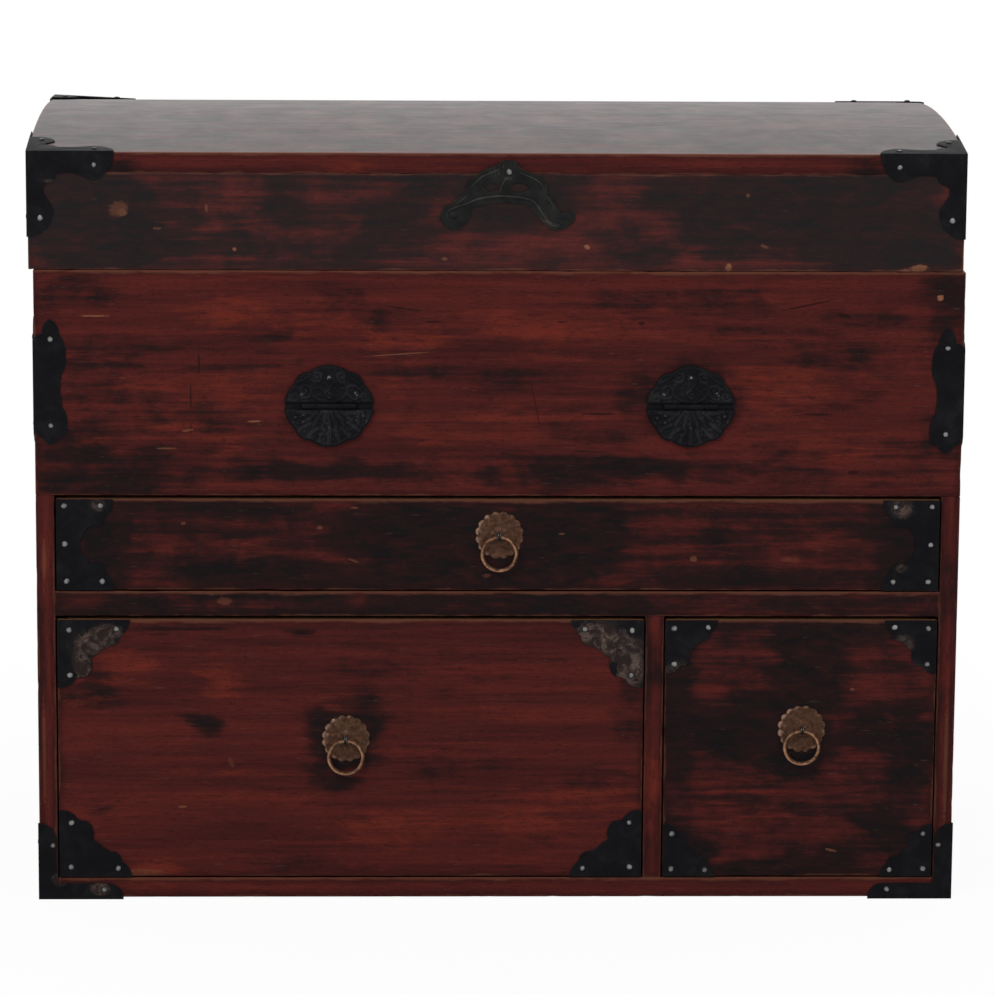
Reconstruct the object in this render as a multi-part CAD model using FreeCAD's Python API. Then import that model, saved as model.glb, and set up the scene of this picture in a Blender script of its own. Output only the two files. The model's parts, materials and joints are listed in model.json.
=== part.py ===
import FreeCAD, Part
import math
import os
from FreeCAD import Vector

# Case boards, in millimetres
case_width = 909.0
case_depth = 454.5
side_thickness = 18.0
front_board_height = 223.0
front_board_thickness = 15.0
back_board_thickness = 9.0
back_board_count = 3
shelf_thickness = 12.0
housing_depth = 5.0
rail_depth = 30.0
bottom_rail_lift = 2.0
bottom_rail_height = 20.0
middle_rail_height = 25.0
partition_thickness = 18.0
partition_centre = 155.0

# Openings for the drawers
wide_opening_height = 96.0
lower_opening_height = 267.0

# Lid
lid_overlap = 1.0
lid_shift = -3.5
lid_seam = 0.4
lid_edge_height = 115.0
lid_rise = 14.0
lid_top_thickness = 20.0
lid_board_thickness = 15.0

# Drawers
drawer_front_thickness = 18.0
drawer_wall_thickness = 10.0
drawer_bottom_thickness = 7.0
drawer_lap = 8.0
drawer_side_gap = 1.0
drawer_top_gap = 3.0
drawer_under_gap = 0.3
drawer_back_gap = 1.0
drawer_wall_drop = 3.0

# Iron plates and their nails
plate_thickness = 1.2
lid_plate_width = 84.0
lid_plate_height = 83.0
lid_plate_reach = 58.0
middle_plate_width = 32.0
middle_plate_height = 124.0
middle_plate_top_left = 48.0
middle_plate_top_right = 55.0
base_plate_width = 83.0
base_plate_height = 78.0
end_plate_width = 56.0
left_plate_width = 72.0
left_plate_height = 68.0
right_plate_width = 52.0
right_plate_height = 54.0
plate_edge_inset = 0.8
nail_head_radius = 2.7
nail_head_height = 1.1
nail_crown_share = 0.45
nail_shank_radius = 0.9
nail_length = 9.0

# Lid ornament
ornament_half_width = 68.0
ornament_height = 67.0
ornament_thickness = 2.0
ornament_drop = 7.0
ornament_opening_half_width = 7.0
ornament_opening_radius = 3.6
ornament_centre = 7.5

# Ring pulls
rosette_radius = 24.5
rosette_thickness = 1.4
rosette_boss_radius = 9.0
rosette_boss_height = 1.6
rosette_petals = 16
ring_radius = 17.0
ring_wire_radius = 2.0
eye_clearance = 0.45
eye_wall = 1.9
eye_width = 3.6
eye_leg_length = 9.0
eye_leg_thickness = 1.2

# How far each ring pull stands off the middle of its drawer front
wide_pull_shift = 0.5
wide_pull_rise = 10.0
left_pull_shift = -5.0
left_pull_rise = 10.5
right_pull_shift = 2.0
right_pull_rise = 20.5

# Round half-moon pulls on the upper board
round_radius_x = 44.0
round_radius_z = 40.5
round_drop = 133.0
round_left_centre = -167.0
round_right_centre = 187.0
round_backplate_inset = 1.0
round_half_thickness = 2.2
flap_gap = 0.3
flap_knuckle_radius = 2.6
flap_pin_radius = 1.3
flap_knuckle_half = 13.0
flap_outer_knuckle = 13.0

# Lid hinges at the back
hinge_spacing = 540.0
hinge_leaf_width = 42.0
hinge_leaf_height = 88.0
hinge_leaf_thickness = 1.5
hinge_knuckle_radius = 4.0
hinge_pin_radius = 2.0
hinge_pin_head = 1.5
hinge_middle_share = 0.36

# Clearances
running_clearance = 0.05
moving_gap = 0.3
knuckle_gap = 0.4
overrun = 2.0

# Outlines as shares of each plate's width and height, from the far end of one arm to the other.
# Every second point is the middle of an arc.
lid_plate_shares = (
    (1.0, 0.0), (0.95, 0.17), (0.855, 0.29), (0.78, 0.325), (0.69, 0.31), (0.53, 0.255), (0.33, 0.265),
    (0.3, 0.34), (0.225, 0.37), (0.185, 0.44), (0.205, 0.51), (0.26, 0.6), (0.295, 0.67),
    (0.24, 0.87), (0.0, 1.0))
corner_plate_shares = (
    (1.0, 0.0), (0.965, 0.12), (0.865, 0.235), (0.84, 0.32), (0.735, 0.385), (0.64, 0.42), (0.545, 0.52),
    (0.5, 0.54), (0.465, 0.575), (0.46, 0.74), (0.375, 0.85), (0.31, 0.85), (0.25, 0.885),
    (0.17, 0.97), (0.0, 1.0))
end_plate_shares = (
    (1.0, 0.0), (0.95, 0.13), (0.85, 0.2), (0.83, 0.26), (0.75, 0.295), (0.66, 0.28), (0.565, 0.3),
    (0.42, 0.46), (0.455, 0.625), (0.55, 0.655), (0.6, 0.72), (0.74, 0.695), (0.84, 0.78),
    (0.95, 0.87), (1.0, 1.0))
middle_plate_shares = (
    (0.0, 0.16), (0.1, 0.13), (0.25, 0.12), (0.3, 0.05), (0.5, 0.0), (0.7, 0.05),
    (0.78, 0.12), (0.93, 0.2), (0.97, 0.3), (0.95, 0.38), (0.84, 0.44), (0.8, 0.58),
    (0.86, 0.7), (1.0, 0.79), (0.98, 0.88), (0.9, 0.94), (0.76, 0.94), (0.5, 1.0), (0.25, 0.95),
    (0.1, 0.93), (0.0, 0.88))
ornament_shares = (
    (0.125, 0.12), (0.25, 0.135), (0.324, 0.194), (0.47, 0.21), (0.566, 0.328), (0.56, 0.5),
    (0.69, 0.627), (0.85, 0.66), (0.993, 0.79), (0.9, 0.93), (0.7, 1.0), (0.57, 0.96),
    (0.53, 0.836), (0.45, 0.68), (0.272, 0.604))
ornament_opening_share = (0.2, 0.38)
base_plate_shares = (
    (1.0, 0.0), (0.965, 0.13), (0.86, 0.205), (0.56, 0.212), (0.27, 0.208), (0.222, 0.22), (0.21, 0.27),
    (0.205, 0.52), (0.21, 0.8), (0.14, 0.94), (0.0, 1.0))
lid_nail_shares = ((0.77, 0.15), (0.145, 0.775))
corner_nail_shares = ((0.16, 0.15), (0.81, 0.13), (0.17, 0.82))
end_nail_shares = ((0.14, 0.07), (0.78, 0.07), (0.15, 0.49), (0.18, 0.9), (0.8, 0.9))
middle_nail_shares = ((0.5, 0.16), (0.5, 0.85))
base_nail_shares = ((0.16, 0.715), (0.77, 0.13))
ornament_nail_shares = ((0.0, 0.16), (0.78, 0.8), (-0.78, 0.8))
hinge_nail_shares = ((-0.28, 0.35), (0.28, 0.35), (-0.28, 0.82), (0.28, 0.82))
round_nail_shares = ((0.0, 0.7), (-0.6, 0.3), (0.6, 0.3))
round_notch_turn_share = (0.08, 0.155, 0.35, 0.425)
round_notch_share = 0.94
petal_notch_share = 0.92

# Heights and places worked out from the sizes above
half_width = case_width / 2
inner_half = half_width - side_thickness
lower_floor = bottom_rail_lift + bottom_rail_height
lower_top = lower_floor + lower_opening_height
wide_floor = lower_top + middle_rail_height
wide_top = wide_floor + wide_opening_height
case_height = wide_top + front_board_height
back_face = case_depth - back_board_thickness
round_height = case_height - round_drop
lid_bottom = case_height + lid_seam
lid_edge = lid_bottom + lid_edge_height
lid_left = lid_shift - half_width - lid_overlap
lid_right = lid_shift + half_width + lid_overlap
dome_radius = ((case_depth / 2) ** 2 + lid_rise ** 2) / (2 * lid_rise)
dome_centre_y = case_depth / 2
dome_centre_z = lid_edge + lid_rise - dome_radius
eye_hole_radius = ring_wire_radius + eye_clearance
eye_radius = eye_hole_radius + eye_wall
eye_y = -(rosette_thickness + rosette_boss_height + eye_radius)
hinge_y = case_depth + hinge_knuckle_radius + moving_gap
hinge_z = case_height + lid_seam / 2
flap_y = -(plate_thickness + flap_gap + flap_knuckle_radius)

groups = {}
holes = {}


def box(x0, x1, y0, y1, z0, z1):
    return Part.makeBox(x1 - x0, y1 - y0, z1 - z0, Vector(x0, y0, z0))


def rod(x0, x1, y, z, radius):
    return Part.makeCylinder(radius, x1 - x0, Vector(x0, y, z), Vector(1, 0, 0))


def add(node, *shapes):
    groups.setdefault(node, []).extend(shapes)


def drill(nodes, tool):
    for node in nodes:
        holes.setdefault(node, []).append(tool)


# Edges through points in the front plane, where every second point lies in the middle of an arc
def arc_edges(points):
    spots = [Vector(u, 0, v) for u, v in points]
    triples = zip(spots[0::2], spots[1::2], spots[2::2])
    return [Part.Arc(start, middle, end).toShape() for start, middle, end in triples]


def plate_from(edges, closing, thickness):
    corners = [Vector(u, 0, v) for u, v in closing]
    lines = [Part.makeLine(start, end) for start, end in zip(corners, corners[1:])]
    wire = Part.Wire(edges + lines)
    return Part.Face(wire).extrude(Vector(0, -thickness, 0))


# Plate in the corner at zero, with its arms along +X and downwards
def corner_plate(shares, width, height, thickness):
    points = [(u * width, -v * height) for u, v in shares]
    return plate_from(arc_edges(points), [points[-1], (0, 0), points[0]], thickness)


def moved(shape, x, y, z):
    copy = shape.copy()
    copy.translate(Vector(x, y, z))
    return copy


def flip_x(shape, x=0.0):
    return shape.mirror(Vector(x, 0, 0), Vector(1, 0, 0))


def flip_y(shape, y):
    return shape.mirror(Vector(0, y, 0), Vector(0, 1, 0))


def flip_z(shape, z):
    return shape.mirror(Vector(0, 0, z), Vector(0, 0, 1))


# The same outline turned from the front face onto the side face round the corner at x
def fold_to_side(shape, x):
    return shape.mirror(Vector(x, 0, 0), Vector(1, -1, 0))


def fused(shapes):
    return shapes[0].multiFuse(shapes[1:]).removeSplitter()


# Nail with its head on a surface point, its shank running in against the outward direction
def nail(point, outward):
    head = Part.makeCone(nail_head_radius, nail_head_radius * nail_crown_share, nail_head_height)
    shank = Part.makeCylinder(nail_shank_radius, nail_length, Vector(0, 0, -nail_length))
    turn = FreeCAD.Rotation(Vector(0, 0, 1), outward)
    body = head.fuse(shank)
    body.Placement = FreeCAD.Placement(point, turn)
    hole = Part.makeCylinder(nail_shank_radius, nail_length, point, outward.negative())
    return body, hole


def fix(node, carriers, point, outward):
    body, hole = nail(point, outward)
    add(node, body)
    drill(carriers, hole)


def dome(radius_step):
    return rod(lid_left - overrun, lid_right + overrun, dome_centre_y, dome_centre_z, dome_radius + radius_step)


def dome_height(y):
    return dome_centre_z + math.sqrt(dome_radius ** 2 - (y - dome_centre_y) ** 2)


# Disc outline with outward lobes between notches, whose places are shares of a full turn
def lobed_disc(radius_x, radius_z, notch_turns, notch_share, thickness):
    points = []
    for turn, after in zip(notch_turns, notch_turns[1:] + [notch_turns[0] + 1]):
        for place, share in ((turn, notch_share), ((turn + after) / 2, 1)):
            angle = 2 * math.pi * place
            points.append((radius_x * share * math.sin(angle), radius_z * share * math.cos(angle)))
    wire = Part.Wire(arc_edges(points + points[:1]))
    return Part.Face(wire).extrude(Vector(0, -thickness, 0))


def build_case():
    for name, sign in (("left", -1), ("right", 1)):
        board = box(-half_width, -inner_half, 0, case_depth, 0, case_height)
        corner = box(-half_width - overrun, -inner_half + overrun, -overrun, front_board_thickness,
                     wide_top, case_height + overrun)
        rebate = box(-inner_half - side_thickness / 2, -inner_half + overrun, back_face,
                     case_depth + overrun, -overrun, case_height + overrun)
        board = board.cut(corner).cut(rebate)
        for low, high in ((lower_floor - shelf_thickness, lower_floor),
                          (wide_floor - shelf_thickness, wide_floor),
                          (wide_top, wide_top + shelf_thickness)):
            front = front_board_thickness if low == wide_top else rail_depth
            groove = box(-inner_half - housing_depth, -inner_half + overrun, front, back_face, low, high)
            board = board.cut(groove)
        for low, high in ((bottom_rail_lift, lower_floor), (lower_top, wide_floor)):
            board = board.cut(box(-inner_half - housing_depth, -inner_half + overrun, 0, rail_depth, low, high))
        add("case_side_" + name, board if sign < 0 else flip_x(board))

    reach = inner_half + housing_depth
    add("case_front_board", box(-half_width, half_width, 0, front_board_thickness, wide_top, case_height))
    plank = case_height / back_board_count
    for index in range(back_board_count):
        add("case_back_boards", box(-inner_half - side_thickness / 2, inner_half + side_thickness / 2,
                                    back_face, case_depth, index * plank, (index + 1) * plank))
    add("case_bottom_board",
        box(-reach, reach, rail_depth, back_face, lower_floor - shelf_thickness, lower_floor))
    add("case_shelf_board",
        box(-reach, reach, rail_depth, back_face, wide_floor - shelf_thickness, wide_floor))
    add("case_floor_board",
        box(-reach, reach, front_board_thickness, back_face, wide_top, wide_top + shelf_thickness))
    add("case_rail_bottom", box(-reach, reach, 0, rail_depth, bottom_rail_lift, lower_floor))
    add("case_rail_middle", box(-reach, reach, 0, rail_depth, lower_top, wide_floor))

    left = partition_centre - partition_thickness / 2
    right = partition_centre + partition_thickness / 2
    front_part = box(left, right, 0, rail_depth, lower_floor, lower_top)
    rear_part = box(left, right, rail_depth, back_face, lower_floor, wide_floor - shelf_thickness)
    add("case_partition", fused([front_part, rear_part]))


# Strip that joins a front flange and a side flange round the corner at x
def corner_strip(x, low, high):
    return box(x - plate_thickness, x, -plate_thickness, 0, low, high)


def build_middle_plates():
    outline = [(u * middle_plate_width, -v * middle_plate_height) for u, v in middle_plate_shares]
    front = plate_from(arc_edges(outline), [outline[-1], outline[0]], plate_thickness)
    front = moved(front, -half_width, 0, 0)
    strip = corner_strip(-half_width, outline[-1][1], outline[0][1])
    plate = fused([front, fold_to_side(front, -half_width), strip])
    tops = {-1: case_height - middle_plate_top_left, 1: case_height - middle_plate_top_right}
    for sign, top in tops.items():
        add("middle_plates", moved(plate if sign < 0 else flip_x(plate), 0, 0, top))
        side = "case_side_left" if sign < 0 else "case_side_right"
        for u, v in middle_nail_shares:
            inset = half_width - u * middle_plate_width
            height = top - v * middle_plate_height
            fix("case_nails", ["middle_plates", "case_front_board"],
                Vector(sign * inset, -plate_thickness, height), Vector(0, -1, 0))
            fix("case_nails", ["middle_plates", side],
                Vector(sign * (half_width + plate_thickness), u * middle_plate_width, height),
                Vector(sign, 0, 0))


def build_base_plates():
    half = flip_z(corner_plate(base_plate_shares, base_plate_width, base_plate_height, plate_thickness), 0)
    half = moved(half, -half_width, 0, 0)
    strip = corner_strip(-half_width, 0, base_plate_height)
    plate = fused([half, fold_to_side(half, -half_width), strip])
    for sign in (-1, 1):
        front = plate if sign < 0 else flip_x(plate)
        side = "case_side_left" if sign < 0 else "case_side_right"
        add("base_plates_front", front)
        add("base_plates_rear", flip_y(front, case_depth / 2))
        for u, v in base_nail_shares:
            inset = u * base_plate_width
            height = v * base_plate_height
            rail = "case_rail_bottom" if inset > side_thickness else side
            rear = "case_back_boards" if inset > side_thickness / 2 else side
            fix("case_nails", ["base_plates_front", rail],
                Vector(sign * (half_width - inset), -plate_thickness, height), Vector(0, -1, 0))
            fix("case_nails", ["base_plates_rear", rear, side],
                Vector(sign * (half_width - inset), case_depth + plate_thickness, height), Vector(0, 1, 0))
            outer = sign * (half_width + plate_thickness)
            fix("case_nails", ["base_plates_front", side], Vector(outer, inset, height), Vector(sign, 0, 0))
            fix("case_nails", ["base_plates_rear", side],
                Vector(outer, case_depth - inset, height), Vector(sign, 0, 0))


def build_lid_boards():
    under = dome(-lid_top_thickness)
    shell = dome(0).cut(under)
    low = lid_edge - lid_top_thickness - lid_rise
    high = lid_edge + lid_rise + overrun
    add("lid_top_board", shell.common(box(lid_left, lid_right, 0, case_depth, low, high)))
    inner_back = case_depth - lid_board_thickness
    pieces = {
        "lid_front_board": box(lid_left, lid_right, 0, lid_board_thickness, lid_bottom, high),
        "lid_back_board": box(lid_left, lid_right, inner_back, case_depth, lid_bottom, high),
        "lid_end_left": box(lid_left, lid_left + lid_board_thickness, lid_board_thickness, inner_back,
                            lid_bottom, high),
        "lid_end_right": box(lid_right - lid_board_thickness, lid_right, lid_board_thickness, inner_back,
                             lid_bottom, high)}
    for name, board in pieces.items():
        add(name, board.common(under))


def build_lid_plates():
    front = corner_plate(lid_plate_shares, lid_plate_width, lid_plate_height, plate_thickness)
    front = moved(front, lid_left, 0, lid_edge)
    rise = box(-plate_thickness + lid_left, lid_left, -plate_thickness, lid_plate_width,
               lid_edge - plate_thickness, lid_edge + lid_rise + overrun)
    side = fused([fold_to_side(front, lid_left), rise, corner_strip(lid_left, lid_edge - lid_plate_height, lid_edge)])
    side = side.common(dome(plate_thickness))
    flat = corner_plate(lid_plate_shares, lid_plate_width, lid_plate_reach, lid_rise + 2 * overrun)
    flat.rotate(Vector(0, 0, 0), Vector(1, 0, 0), -90)
    flat = flip_y(flat, 0) if flat.BoundBox.YMax <= 0 else flat
    flat = moved(flat, lid_left, 0, lid_edge - overrun - flat.BoundBox.ZMin)
    top = flat.common(dome(plate_thickness).cut(dome(0)))
    lip = box(lid_left - plate_thickness, lid_left + lid_plate_width, -plate_thickness, 0,
              lid_edge - plate_thickness, lid_edge + plate_thickness)
    lip = lip.common(dome(plate_thickness))
    plate = fused([front, side, top, lip])
    for sign in (-1, 1):
        corner = plate if sign < 0 else flip_x(plate, lid_shift)
        edge = lid_left if sign < 0 else lid_right
        end = "lid_end_left" if sign < 0 else "lid_end_right"
        add("lid_plates_front", corner)
        add("lid_plates_rear", flip_y(corner, case_depth / 2))
        front_nodes = ["lid_plates_front", "lid_top_board", "lid_front_board", end]
        rear_nodes = ["lid_plates_rear", "lid_top_board", "lid_back_board", end]
        outer = edge + sign * plate_thickness
        for u, v in lid_nail_shares:
            x = edge - sign * u * lid_plate_width
            y = u * lid_plate_width
            z = lid_edge - v * lid_plate_height
            fix("lid_nails", front_nodes, Vector(x, -plate_thickness, z), Vector(0, -1, 0))
            fix("lid_nails", rear_nodes, Vector(x, case_depth + plate_thickness, z), Vector(0, 1, 0))
            fix("lid_nails", front_nodes, Vector(outer, y, z), Vector(sign, 0, 0))
            fix("lid_nails", rear_nodes, Vector(outer, case_depth - y, z), Vector(sign, 0, 0))
            back = v * lid_plate_reach
            for node, depth in (("lid_plates_front", back), ("lid_plates_rear", case_depth - back)):
                normal = Vector(0, depth - dome_centre_y, dome_height(depth) - dome_centre_z).normalize()
                spot = Vector(x, depth, dome_height(depth)) + normal * plate_thickness
                fix("lid_nails", [node, "lid_top_board"], spot, normal)


def build_ornament():
    half = [(u * ornament_half_width, -v * ornament_height) for u, v in ornament_shares]
    stem = half[0][0]
    shape = plate_from(arc_edges(half), [half[-1], (0, half[-1][1]), (0, 0), (stem, 0), half[0]],
                       ornament_thickness)
    u, v = ornament_opening_share
    across = u * ornament_half_width
    down = -v * ornament_height
    radius = ornament_opening_radius
    reach = ornament_opening_half_width - radius
    depth = ornament_thickness + overrun
    ends = [Part.makeCylinder(radius, depth + overrun, Vector(x, overrun, down), Vector(0, -1, 0))
            for x in (across - reach, across + reach)]
    middle = box(across - reach, across + reach, -depth, overrun, down - radius, down + radius)
    shape = shape.cut(fused(ends + [middle]))
    top = lid_edge - ornament_drop
    both = fused([shape, flip_x(shape)])
    add("lid_ornament", moved(both, ornament_centre, 0, top))
    for u, v in ornament_nail_shares:
        spot = Vector(ornament_centre + u * ornament_half_width, -ornament_thickness, top - v * ornament_height)
        fix("lid_nails", ["lid_ornament", "lid_front_board", "lid_top_board"], spot, Vector(0, -1, 0))


def build_hinges():
    middle = hinge_leaf_width * hinge_middle_share / 2
    half = hinge_leaf_width / 2
    for place in (-hinge_spacing / 2, hinge_spacing / 2):
        bore = rod(place - half - overrun, place + half + overrun, hinge_y, hinge_z, hinge_pin_radius)
        free_bore = rod(place - half, place + half, hinge_y, hinge_z, hinge_pin_radius + running_clearance)
        pin = fused([rod(place - half, place + half, hinge_y, hinge_z, hinge_pin_radius)]
                    + [rod(x0, x1, hinge_y, hinge_z, hinge_knuckle_radius)
                       for x0, x1 in ((place - half - hinge_pin_head, place - half),
                                      (place + half, place + half + hinge_pin_head))])
        add("hinge_pins", pin)
        outer = case_depth + hinge_leaf_thickness
        reach = hinge_knuckle_radius + knuckle_gap
        lower = [box(place - half, place + half, case_depth, outer, hinge_z - reach - hinge_leaf_height,
                     hinge_z - reach)]
        for x0, x1 in ((place - half, place - middle - knuckle_gap), (place + middle + knuckle_gap, place + half)):
            lower.append(box(x0, x1, case_depth + moving_gap, outer, hinge_z - reach, hinge_z))
            lower.append(rod(x0, x1, hinge_y, hinge_z, hinge_knuckle_radius))
        add("hinge_lower_leaves", fused(lower).cut(bore))
        upper = [box(place - half, place + half, case_depth, outer, hinge_z + reach,
                     hinge_z + reach + hinge_leaf_height),
                 box(place - middle, place + middle, case_depth + moving_gap, outer, hinge_z, hinge_z + reach),
                 rod(place - middle, place + middle, hinge_y, hinge_z, hinge_knuckle_radius)]
        add("hinge_upper_leaves", fused(upper).cut(free_bore))
        for u, v in hinge_nail_shares:
            x = place + u * hinge_leaf_width
            down = Vector(x, outer, hinge_z - reach - v * hinge_leaf_height)
            up = Vector(x, outer, hinge_z + reach + v * hinge_leaf_height)
            fix("case_nails", ["hinge_lower_leaves", "case_back_boards"], down, Vector(0, 1, 0))
            fix("lid_nails", ["hinge_upper_leaves", "lid_back_board"], up, Vector(0, 1, 0))


def build_round_pull(name, centre):
    turns = list(round_notch_turn_share) + [1 - turn for turn in reversed(round_notch_turn_share)]
    whole = lobed_disc(round_radius_x, round_radius_z, turns, round_notch_share, round_half_thickness)
    inner_x = round_radius_x - round_backplate_inset
    inner_z = round_radius_z - round_backplate_inset
    back = lobed_disc(inner_x, inner_z, turns, round_notch_share, plate_thickness)
    add("round_backplates", moved(back, centre, 0, round_height))

    reach = flap_knuckle_radius + knuckle_gap
    wide = round_radius_x + overrun
    tall = round_radius_z + overrun
    ends = flap_knuckle_half + knuckle_gap
    outer = ends + flap_outer_knuckle
    pin = rod(-outer, outer, flap_y, 0, flap_pin_radius)
    add("round_pins", moved(pin, centre, 0, round_height))

    upper_back = -plate_thickness
    upper = moved(whole, 0, upper_back, 0).common(
        box(-wide, wide, upper_back - round_half_thickness, upper_back, reach, tall))
    upper_parts = [upper]
    for x0, x1 in ((-outer, -ends), (ends, outer)):
        upper_parts.append(box(x0, x1, upper_back - round_half_thickness, upper_back - flap_gap, 0, reach))
        upper_parts.append(rod(x0, x1, flap_y, 0, flap_knuckle_radius))
    add("round_upper_halves", moved(fused(upper_parts).cut(pin), centre, 0, round_height))

    flap_back = -plate_thickness - flap_gap
    lower = moved(whole, 0, flap_back, 0).common(
        box(-wide, wide, flap_back - round_half_thickness, flap_back, -tall, -reach))
    web = box(-flap_knuckle_half, flap_knuckle_half, flap_back - round_half_thickness, flap_back, -reach, 0)
    knuckle = rod(-flap_knuckle_half, flap_knuckle_half, flap_y, 0, flap_knuckle_radius)
    bore = rod(-wide, wide, flap_y, 0, flap_pin_radius + running_clearance)
    add("flap_" + name, moved(fused([lower, web, knuckle]).cut(bore), centre, 0, round_height))

    for u, v in round_nail_shares:
        spot = Vector(centre + u * round_radius_x, upper_back - round_half_thickness,
                      round_height + v * round_radius_z)
        fix("case_nails", ["round_upper_halves", "round_backplates", "case_front_board"], spot, Vector(0, -1, 0))


# Walls of one drawer between the given sides of its opening
def build_drawer_box(name, x0, x1, z0, z1):
    lap = drawer_lap
    face = drawer_front_thickness
    wall = drawer_wall_thickness
    back = back_face - drawer_back_gap
    floor = z0 + drawer_bottom_thickness
    front = box(x0, x1, 0, face, z0, z1)
    front = front.cut(box(x0 - overrun, x1 + overrun, lap, face + overrun, z0 - overrun, floor))
    for left, right in ((x0 - overrun, x0 + wall), (x1 - wall, x1 + overrun)):
        front = front.cut(box(left, right, lap, face + overrun, floor - overrun, z1 + overrun))
    rim = z1 - drawer_wall_drop
    add(name + "_front", front)
    add(name + "_sides", box(x0, x0 + wall, lap, back, floor, rim), box(x1 - wall, x1, lap, back, floor, rim))
    add(name + "_back", box(x0 + wall, x1 - wall, back - wall, back, floor, rim))
    add(name + "_bottom", box(x0, x1, lap, back, z0, floor))


def build_ring_pull(name, x, z):
    turns = [petal / rosette_petals for petal in range(rosette_petals)]
    disc = lobed_disc(rosette_radius, rosette_radius, turns, petal_notch_share, rosette_thickness)
    outward = Vector(0, -1, 0)
    boss = Part.makeCone(rosette_boss_radius, rosette_boss_radius / 2, rosette_boss_height,
                         Vector(0, -rosette_thickness, 0), outward)
    inside = drawer_front_thickness + eye_leg_thickness
    half = eye_width / 2
    loop = rod(-half, half, eye_y, 0, eye_radius)
    hole = rod(-half - overrun, half + overrun, eye_y, 0, eye_hole_radius)
    shank = box(-half, half, eye_y + eye_hole_radius, inside, -eye_wall, eye_wall)
    legs = box(-half, half, drawer_front_thickness, inside, -eye_leg_length, eye_leg_length)
    eye = fused([loop, shank, legs]).cut(hole)
    add(name + "_rosette", moved(fused([disc, boss]).cut(shank), x, 0, z))
    add(name + "_eye", moved(eye, x, 0, z))
    drill([name + "_front"], moved(shank, x, 0, z))
    ring = Part.makeTorus(ring_radius, ring_wire_radius, Vector(x, eye_y, z - ring_radius), Vector(0, 1, 0))
    add("ring_" + name.split("_")[-1], ring)


def nail_plates(name, places):
    for x, z in places:
        fix(name + "_nails", [name + "_plates", name + "_front"], Vector(x, -plate_thickness, z), Vector(0, -1, 0))


# A plate in each corner of a drawer front
def build_corner_plates(name, x0, x1, z0, z1, width, height):
    edge = plate_edge_inset
    shape = moved(corner_plate(corner_plate_shares, width, height, plate_thickness), x0 + edge, 0, z1 - edge)
    middle_x = (x0 + x1) / 2
    middle_z = (z0 + z1) / 2
    low = flip_z(shape, middle_z)
    add(name + "_plates", shape, low, flip_x(shape, middle_x), flip_x(low, middle_x))
    for u, v in corner_nail_shares:
        dx = edge + u * width
        dz = edge + v * height
        nail_plates(name, [(x, z) for x in (x0 + dx, x1 - dx) for z in (z0 + dz, z1 - dz)])


# A full-height plate at each end of the wide drawer's front
def build_end_plates(name, x0, x1, z0, z1, width):
    edge = plate_edge_inset
    height = z1 - z0 - 2 * edge
    points = [(u * width, -v * height) for u, v in end_plate_shares]
    shape = plate_from(arc_edges(points), [points[-1], (0, -height), (0, 0), points[0]], plate_thickness)
    shape = moved(shape, x0 + edge, 0, z1 - edge)
    add(name + "_plates", shape, flip_x(shape, (x0 + x1) / 2))
    for u, v in end_nail_shares:
        dx = edge + u * width
        nail_plates(name, [(x, z1 - edge - v * height) for x in (x0 + dx, x1 - dx)])


def build_drawers():
    gap = drawer_side_gap
    split = partition_thickness / 2
    wide = (-inner_half + gap, inner_half - gap, wide_floor + drawer_under_gap, wide_top - drawer_top_gap)
    low = lower_floor + drawer_under_gap
    high = lower_top - drawer_top_gap
    left = (-inner_half + gap, partition_centre - split - gap, low, high)
    right = (partition_centre + split + gap, inner_half - gap, low, high)
    for name, room, pull_shift, pull_rise in (("drawer_wide", wide, wide_pull_shift, wide_pull_rise),
                                              ("drawer_left", left, left_pull_shift, left_pull_rise),
                                              ("drawer_right", right, right_pull_shift, right_pull_rise)):
        x0, x1, z0, z1 = room
        build_drawer_box(name, x0, x1, z0, z1)
        build_ring_pull(name, (x0 + x1) / 2 + pull_shift, (z0 + z1) / 2 + pull_rise)
    build_end_plates("drawer_wide", *wide, end_plate_width)
    build_corner_plates("drawer_left", *left, left_plate_width, left_plate_height)
    build_corner_plates("drawer_right", *right, right_plate_width, right_plate_height)


build_case()
build_middle_plates()
build_base_plates()
build_lid_boards()
build_lid_plates()
build_ornament()
build_hinges()
build_round_pull("left", round_left_centre)
build_round_pull("right", round_right_centre)
build_drawers()

# The origin is under the middle of the whole part
parts = {}
for node, shapes in groups.items():
    shape = shapes[0] if len(shapes) == 1 else Part.makeCompound(shapes)
    tools = [tool for tool in holes.get(node, []) if tool.BoundBox.intersect(shape.BoundBox)]
    parts[node] = shape.cut(Part.makeCompound(tools)) if tools else shape
whole = Part.makeCompound(list(parts.values())).BoundBox
shift = Vector(-(whole.XMin + whole.XMax) / 2, -(whole.YMin + whole.YMax) / 2, -whole.ZMin)

os.makedirs("parts", exist_ok=True)
for node, shape in parts.items():
    shape.translate(shift)
    shape.exportStep("parts/" + node + ".step")
print("nodes", len(parts), "box", round(whole.XLength, 2), round(whole.YLength, 2), round(whole.ZLength, 2),
      "case centre at", round(shift.x, 3), "front face at", round(shift.y, 3))
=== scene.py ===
import json
import math

import bmesh
import bpy
import numpy as np
from mathutils import Matrix, Vector, noise

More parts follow.
